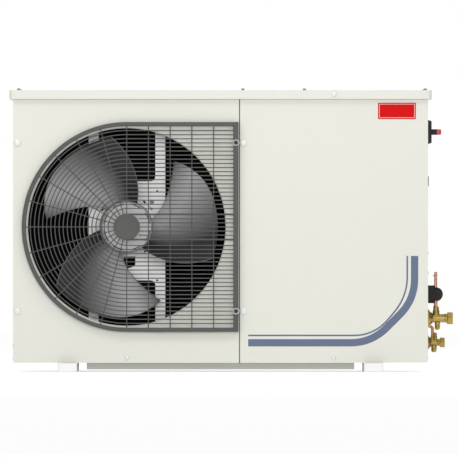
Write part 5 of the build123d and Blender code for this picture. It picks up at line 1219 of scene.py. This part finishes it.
# ---- fan ---------------------------------------------------------------------------------
@dataclass
class Impeller:
    """Moulded impeller: a drum hub with a slotted face, and sickle blades of nylon."""

    hub: float = 64.0
    hub_front: float = 43.0
    hub_length: float = 62.0
    hub_wall: float = 2.6
    slot_radius: float = 57.0
    slot_width: float = 2.6
    slot_depth: float = 1.9
    slot_reach: float = 14.5
    slots: int = 8
    tip: float = 225.0
    chord_depth: float = 60.0
    back: float = 14.0
    thickness: float = 2.4
    cut: float = 25.0
    blades: int = 3

    def build(self) -> None:
        """Makes the hub and the blades, which turn together."""
        self.hub_drum()
        self.blade_set()

    def blade_grid(self, radius: Array, share: Array) -> Array:
        """Points of one blade's middle surface.

        With w = (r - hub) / (tip - hub), the leading edge is at angle 137 + 64w - 23w^2 degrees
        and the trailing edge at 66 + 33.5w. Between them the angle goes evenly with the chord
        share s, and the surface comes forward by the depth times 0.35s + 0.65s^2.4.

        Args:
            radius: Distances from the axis.
            share: Shares of the chord, from the leading edge.

        Returns:
            Points from the fan's axis, of the arguments' shape with 3 added.
        """
        w = (radius - self.hub) / (self.tip - self.hub)
        leading, trailing = 137 + 64 * w - 23 * w ** 2, 66 + 33.5 * w
        angle = np.radians(leading + (trailing - leading) * share)
        forward = self.chord_depth * (0.35 * share + 0.65 * share ** 2.4)
        return np.stack([radius * np.cos(angle), self.back - forward, radius * np.sin(angle)],
                        axis=-1)

    def blade_set(self) -> None:
        """Blades, thick in the middle, thinning to rounded edges and a rounded tip.

        Where the chord share s is below 0.45, the tip lies in by the cut times
        (1 - s / 0.45)^1.6, which rounds the leading corner off.
        """
        rows, columns = 34, 30
        share = (1 - np.cos(np.linspace(0, np.pi, columns))) / 2
        out = np.concatenate([np.linspace(0, 0.985, rows - 3), [0.993, 0.998, 1.0]])
        tip = self.tip - self.cut * np.clip(1 - share / 0.45, 0, 1) ** 1.6
        radius = self.hub - 1.5 + (tip[None] - self.hub + 1.5) * out[:, None]
        chord = np.broadcast_to(share, radius.shape)
        middle = self.blade_grid(radius, chord)
        along_r = self.blade_grid(radius + 0.01, chord) - middle
        along_s = self.blade_grid(radius, np.clip(chord + 0.001, 0, 1)) - \
            self.blade_grid(radius, np.clip(chord - 0.001, 0, 1))
        normal = np.cross(along_r, along_s)
        normal /= np.linalg.norm(normal, axis=2, keepdims=True)
        edge = np.minimum(1.0, np.sqrt(np.maximum(1 - (2 * chord - 1) ** 2, 0) * 14))
        end = np.sqrt(np.clip((1 - out) / 0.007, 0, 1))[:, None]
        half = (self.thickness / 2 * edge * end)[..., None]
        loop = np.concatenate([middle + normal * half, (middle - normal * half)[:, ::-1]], axis=1)
        shares = np.stack([np.concatenate([chord, chord[:, ::-1]], axis=1),
                           np.repeat(out[:, None], 2 * columns, axis=1)], axis=-1)
        shell = Shell()
        for blade in range(self.blades):
            turn = 2 * math.pi * blade / self.blades
            cos, sin = math.cos(turn), math.sin(turn)
            x = loop[..., 0] * cos - loop[..., 2] * sin
            z = loop[..., 0] * sin + loop[..., 2] * cos
            points = np.stack([x, loop[..., 1], z], axis=-1) + FAN
            shell.grid(points, around=True, shares=shares)
        finished(shell, "fan_blades", BLADE, "fan_impeller", "fan", 50.0)

    def hub_drum(self) -> None:
        """Drum whose face has a ring of short slots and a grooved rim.

        The face is a polar grid; its points lie deeper by 1.9 mm between the slots' walls where
        the angle falls inside one of the even slots, and in the narrow groove near the rim.
        """
        sides = 240
        angle = full_turn(sides)
        half = self.slot_width / 2
        slot = np.array([self.slot_radius - half, self.slot_radius - half + 0.1,
                         self.slot_radius + half - 0.1, self.slot_radius + half])
        face = np.concatenate([[0.0, 30.0], slot, [60.0, 60.1, 61.5, 61.6]])
        sunk = np.zeros((len(face), sides))
        inside = np.abs(np.mod(angle, 2 * np.pi / self.slots) - np.pi / self.slots) \
            < math.radians(self.slot_reach)
        sunk[3:5] = inside * self.slot_depth
        sunk[7:9] = self.slot_depth
        radius = np.concatenate([face, [62.6, 63.6, 64.0, 64.0, 61.4, 61.4, 30.0, 0.0]])
        front = self.hub_front
        drop = np.array([0.5, 1.4, 3.0] + [self.hub_length] * 2 + [self.hub_wall] * 3)
        height = np.concatenate([front - sunk, np.repeat((front - drop)[:, None], sides, 1)])
        radius = np.repeat(radius[:, None], sides, axis=1)
        shell = Shell()
        spun(shell, Axis.FORWARD, FAN, height, radius, angle)
        finished(shell, "fan_hub", FACE, "fan_impeller", "fan", 35.0)
        self.hub_slot_shade(front, half)

    def hub_slot_shade(self, front: float, half: float) -> None:
        """Black floors in the hub's slots and in the grooves by its rim: painted shade in them."""
        lines = Shell()
        near, far = front - 0.5, front - 1.1
        for low, high in ((60.1, 61.5), (62.5, 64.2)):
            turned(lines, Axis.FORWARD, FAN,
                   [(far, low), (near, low), (near, high), (far, high), (far, low)], 96)
        reach = np.radians(np.linspace(-self.slot_reach, self.slot_reach, 9))
        for slot in range(self.slots):
            turn = reach + (slot + 0.5) * 2 * math.pi / self.slots
            edges = [np.stack([radius * np.cos(turn), radius * np.sin(turn)], axis=-1)
                     for radius in (self.slot_radius - half, self.slot_radius + half)]
            flat = np.stack([edges[0], edges[0], edges[1], edges[1]])
            height = np.repeat(np.array([[1.6], [0.6], [0.6], [1.6]]), len(reach), axis=1)
            lines.grid(Axis.FORWARD.place(FAN, front - height, flat[..., 0], flat[..., 1]),
                       along=True)
        finished(lines, "fan_hub_painted_shade", GLAND, "fan_impeller", "fan", 35.0)


# ---- condenser coil ----------------------------------------------------------------------
@dataclass
class Coil:
    """Folded fins between flat tubes, foam at their ends, and the welded wire grid behind."""

    left: float = -473.0
    right: float = 28.0
    depth: tuple[float, float] = (172.6, 174.0)
    first_tube: float = 67.9
    tube_pitch: float = 11.0
    tubes: int = 54
    tube: float = 2.0
    fold: float = 3.4
    sheet: float = 0.25
    seal: float = 4.4
    seal_depth: float = 11.0
    wire: float = 3.0
    grid_x: tuple[float, float] = (-503.0, 63.8)
    grid_z: tuple[float, float] = (42.4, 662.8)
    grid_counts: tuple[int, int] = (12, 13)

    def build(self) -> None:
        """Makes the fins, the foam and the wire grid."""
        self.fins()
        self.seals()
        self.grid()

    def fins(self) -> None:
        """Zigzag edges on the back of the fin bands: each point lies on either tube in turn.

        The four corners of the strip's section are the two faces, half a sheet to either side,
        at the front and at the back of the coil.
        """
        folds = int((self.right - self.left) / self.fold)
        x = np.linspace(self.left, self.right, folds + 1)
        low = self.first_tube + np.arange(self.tubes - 1) * self.tube_pitch + self.tube / 2
        high = low + self.tube_pitch - self.tube
        up = (np.arange(folds + 1) % 2).astype(float)
        shell = Shell()
        for bottom, top in zip(low + 0.1, high - 0.1):
            z = bottom + (top - bottom) * up
            corners = [np.stack([x + side * self.sheet / 2, np.full_like(x, y), z], axis=-1)
                       for side, y in ((-1, self.depth[0]), (1, self.depth[0]),
                                       (1, self.depth[1]), (-1, self.depth[1]))]
            shell.grid(np.stack(corners, axis=1), around=True)
        finished(shell, "coil_folded_fins", FIN, crease=20.0)

    def seals(self) -> None:
        """Foam strips that close the gaps between the fin bands and the headers."""
        low = self.first_tube - self.tube_pitch / 2
        high = low + self.tubes * self.tube_pitch
        shell = Shell()
        for x in (self.left - self.seal / 2, self.right + self.seal / 2):
            lofted(shell, Axis.BACK, (x, self.depth[1] - self.seal_depth - 1.0, (low + high) / 2),
                   rectangle(self.seal + 1.2, high - low), [(0.0, 0.0), (self.seal_depth, 0.0)])
        finished(shell, "coil_end_seals", FOAM)

    def grid(self) -> None:
        """Level wires against the flanges, upright ones welded behind them."""
        shell = Shell()
        radius = self.wire / 2
        near = span("coil_guard", 1)[0]
        (left, right), (low, high) = self.grid_x, self.grid_z
        for z in np.linspace(low, high, self.grid_counts[1]):
            bar(shell, (left, near + radius, z), (right, near + radius, z), radius)
        for x in np.linspace(left, right, self.grid_counts[0]):
            y = near + 3 * radius
            bar(shell, (x, y, low - radius), (x, y, high + radius), radius)
        finished(shell, "coil_guard_wires", GUARD, "coil_guard", crease=60.0)


# ---- main switch -------------------------------------------------------------------------
@dataclass
class MainSwitch:
    """Rotary main switch: tapered plate, collar and red handle."""

    plate: float = 59.6
    plate_rise: float = 9.5
    taper: float = 2.9
    corner: float = 6.0
    collar: float = 7.15
    collar_start: float = 9.8
    collar_end: float = 18.8
    handle: tuple[float, float] = (44.0, 14.3)
    handle_end: float = 33.3
    foot: float = 3.6

    def build(self) -> None:
        """Makes the plate, which stays, and the collar and handle, which turn."""
        centre = (WALL, SWITCH[1], SWITCH[2])
        plate, collar, foot, grip = Shell(), Shell(), Shell(), Shell()
        rise, inset = self.plate_rise, self.taper
        lofted(plate, Axis.RIGHT, centre,
               rounded(rectangle(self.plate, self.plate), self.corner, 6, True),
               [(0.0, 0.0), (1.2, 0.0), (rise - 0.7, inset - 0.3), (rise, inset + 0.6)])
        turned(collar, Axis.RIGHT, centre,
               rounded(puck(self.collar, self.collar_start, self.collar_end), 0.8, 3), 40)
        long, wide = self.handle[0] / 2 - self.handle[1] / 2, self.handle[1] / 2
        ends = circle(wide, 32)
        slot = ends + np.where(ends[:, :1] >= 0, long, -long) * np.array([1.0, 0.0])
        start, split, top = self.collar_end, self.collar_end + self.foot, self.handle_end
        lofted(foot, Axis.RIGHT, centre, slot, [(start, 0.5), (start + 0.5, 0.0), (split, 0.0)])
        lofted(grip, Axis.RIGHT, centre, slot,
               [(split, 0.3), (split + 0.3, 0.1), (top - 3.0, 0.1), (top - 1.2, 0.7),
                (top - 0.3, 1.9), (top, 3.2)])
        finished(plate, "switch_front_plate", SWITCH_BLACK, "switch_plate")
        for shell, name, finish, stands_for in (
                (collar, "switch_collar", SWITCH_BLACK, "switch_shaft"),
                (foot, "switch_handle_foot", SWITCH_BLACK, "switch_handle"),
                (grip, "switch_handle_grip", SWITCH_RED, "switch_handle")):
            finished(shell, name, finish, stands_for, "main_switch")


# ---- service valves ----------------------------------------------------------------------
@dataclass(frozen=True)
class ServiceValve:
    """Sizes of one angle valve; lengths run outwards from the side panel."""

    y: float
    z: float
    flange_radius: float
    flange: float
    body_radius: float
    body_end: float
    nut: float
    nut_across: float
    bore: float
    boss_x: float
    boss_radius: float
    boss_top: float
    stem_x: float
    cap_radius: float
    cap_top: float
    cap_bottom: float
    ball: float


VALVES = (
    ServiceValve(-80.0, 131.8, 23.0, 12.5, 10.5, 49.0, 14.0, 29.5, 8.0, 21.5, 8.5, 28.2, 24.8,
                 6.4, 10.8, 28.8, 9.8),
    ServiceValve(0.0, 71.4, 18.5, 9.4, 8.0, 32.0, 12.0, 24.0, 4.86, 20.5, 4.7, 24.6, 17.2,
                 6.7, 8.4, 24.4, 8.0),
)


@dataclass
class Pipework:
    """Brass service valves, copper riser and lumpy foam on the right side panel."""

    riser_x: float = 20.5
    riser_radius: float = 4.8
    stub_radius: float = 3.8
    tee: float = 191.0
    collar: float = 236.7
    top: float = 246.0
    sleeve: float = 22.5
    sleeve_inside: float = 14.0
    ball: float = 18.0
    socket: tuple[float, float, float] = (14.0, 9.0, 5.55)

    def build(self) -> None:
        """Makes both valves, the riser and the insulation."""
        bodies, nuts, caps = Shell(), Shell(), Shell()
        for valve in VALVES:
            self.body(bodies, valve)
            hexagon_block(nuts, Axis.RIGHT, (WALL + valve.body_end, valve.y, valve.z),
                          valve.nut_across, valve.nut, valve.bore, both=True)
            self.cap(caps, valve)
        liquid = VALVES[1]
        x, aside, radius = self.socket
        turned(bodies, Axis.UP, (WALL + x, liquid.y + aside, liquid.z),
               rounded(puck(radius, 2.2, 14.6), 0.7, 3), 28)
        corners = [(-4, -1), (4, -1), (4, aside), (-4, aside)]
        lofted(bodies, Axis.UP, (WALL + x, liquid.y, liquid.z + 5.6),
               rounded(corners, 1.0, 3, True), [(0.0, 0.4), (0.4, 0.0), (5.6, 0.0), (6.0, 0.4)])
        for shell, name, stands_for in ((bodies, "valve_castings", "valve_bodies"),
                                        (nuts, "valve_flare_nuts", "valve_nuts"),
                                        (caps, "valve_stem_caps", "valve_caps")):
            finished(shell, name, BRASS, stands_for, crease=28.0)
        self.riser()
        self.insulation()

    def body(self, shell: Shell, valve: ServiceValve) -> None:
        """Adds the wall flange, barrel, ball housing, upright boss and stem boss of a valve."""
        cone = valve.flange * 0.25
        barrel, end = valve.body_radius, valve.body_end
        profile = [(0, 0), (0, valve.flange_radius), (cone, valve.flange_radius),
                   (valve.flange, barrel + 1.5), (valve.flange + 1, barrel), (end - 6, barrel),
                   (end - 4.5, barrel + 0.8), (end, barrel + 0.8), (end, 0)]
        turned(shell, Axis.RIGHT, (WALL, valve.y, valve.z), rounded(profile, 1.0, 3), 48)
        wide, top = valve.boss_radius, valve.boss_top
        boss = [(0, 0), (0, wide), (top * 0.62, wide), (top * 0.7, wide * 0.86),
                (top, wide * 0.8), (top, 0)]
        turned(shell, Axis.UP, (WALL + valve.boss_x, valve.y, valve.z), rounded(boss, 1.2, 3), 36)
        centre = (WALL + valve.stem_x, valve.y, valve.z)
        angle = np.radians(np.linspace(0, 180, 17))
        sphere = valve.ball * np.stack([-np.cos(angle), np.sin(angle)], axis=1)
        turned(shell, Axis.UP, centre, sphere, 36)
        turned(shell, Axis.UP, centre, puck(valve.cap_radius - 1.4, -valve.cap_top - 5, 0.0), 28)

    def cap(self, shell: Shell, valve: ServiceValve) -> None:
        """Adds a stem cap: hexagon above, domed below."""
        x = WALL + valve.stem_x
        low, high, r = -valve.cap_bottom, -valve.cap_top, valve.cap_radius
        dome = [(low, 0), (low, r * 0.55), (low + r * 0.5, r), (high - 5.2, r),
                (high - 4.8, r * 0.9), (high - 4.2, r * 0.9)]
        outer = rounded(dome, 1.6, 4)
        inner = np.array([(high - 4.2, r - 1.6), (low + 3, r - 1.6), (low + 3, 0.0)])
        turned(shell, Axis.UP, (x, valve.y, valve.z), np.concatenate([outer, inner]), 36)
        hexagon_block(shell, Axis.UP, (x, valve.y, valve.z + high - 4.4), 1.86 * r, 4.4, r - 1.2,
                      both=True)

    def riser(self) -> None:
        """Adds the copper riser with brazed fillets, its charging stub and crimped collar."""
        valve = VALVES[0]
        low = valve.z + valve.boss_top
        r, stub, tee, crimp, top = (self.riser_radius, self.stub_radius, self.tee, self.collar,
                                    self.top)
        outline = [(low, 0), (low, r + 1.6), (low + 0.8, r + 1.2), (low + 2.2, r), (tee + 8, r),
                   (tee + 12, stub), (crimp - 1.6, stub), (crimp - 1.2, stub + 1),
                   (crimp - 0.8, 2 * stub), (crimp + 0.6, 2 * stub), (crimp + 1.2, stub + 0.6),
                   (crimp + 1.8, stub), (top - 0.8, stub), (top, stub - 0.6), (top, stub - 1.3),
                   (top - 4, stub - 1.3), (top - 4, 0)]
        shell = Shell()
        turned(shell, Axis.UP, (WALL + self.riser_x, valve.y, 0.0), outline, 36)
        finished(shell, "suction_riser_tube", COPPER, "suction_riser", crease=40.0)

    def insulation(self) -> None:
        """Adds the foam: a sleeve through the wall and a taped ball round the tee.

        The radii of both are multiplied by
        1 + 0.016 sin(5a + 0.35h) + 0.014 sin(11a - 0.9h) + 0.01 sin(23a + 1.7h), with the angle
        a and the place h along the axis, so that neither is quite round.
        """
        angle = full_turn(144)[None]
        shell = Shell()
        ends = np.array([(-self.sleeve_inside, 0.0), (-self.sleeve_inside, 0.96)]
                        + [(h, 1.0) for h in np.linspace(-self.sleeve_inside + 1, 15.5, 10)]
                        + [(17.0, 0.95), (17.5, 0.86), (17.5, 0.0)])
        arc = np.radians(np.linspace(0, 180, 25))
        ball = np.stack([self.riser_x - self.ball * np.cos(arc), np.sin(arc)], axis=1)
        for outline, size in ((ends, self.sleeve), (ball, self.ball)):
            h = outline[:, :1]
            lump = (1 + 0.016 * np.sin(5 * angle + 0.35 * h)
                    + 0.014 * np.sin(11 * angle - 0.9 * h) + 0.01 * np.sin(23 * angle + 1.7 * h))
            radius = np.maximum(size * outline[:, 1:] * lump, 0.0) * 0.97
            along = np.repeat(h, angle.size, axis=1)
            spun(shell, Axis.RIGHT, (WALL, VALVES[0].y, self.tee), along, radius, angle)
        finished(shell, "suction_foam", FOAM, "suction_insulation", crease=50.0)


def main() -> None:
    """Builds the studio and every sub-assembly in order."""
    logging.basicConfig(level=logging.INFO, format="%(name)s: %(message)s")
    for finish, nodes in NODE_FINISHES.items():
        for name in nodes:
            for place in frame["nodes"][name].material_slots:
                place.material = finish.material()
    Studio().build()
    for part in (Cabinet(), FanGuard(), Impeller(), Coil(), Fasteners(), MainSwitch(),
                 Pipework()):
        part.build()


if __name__ == "__main__":
    main()
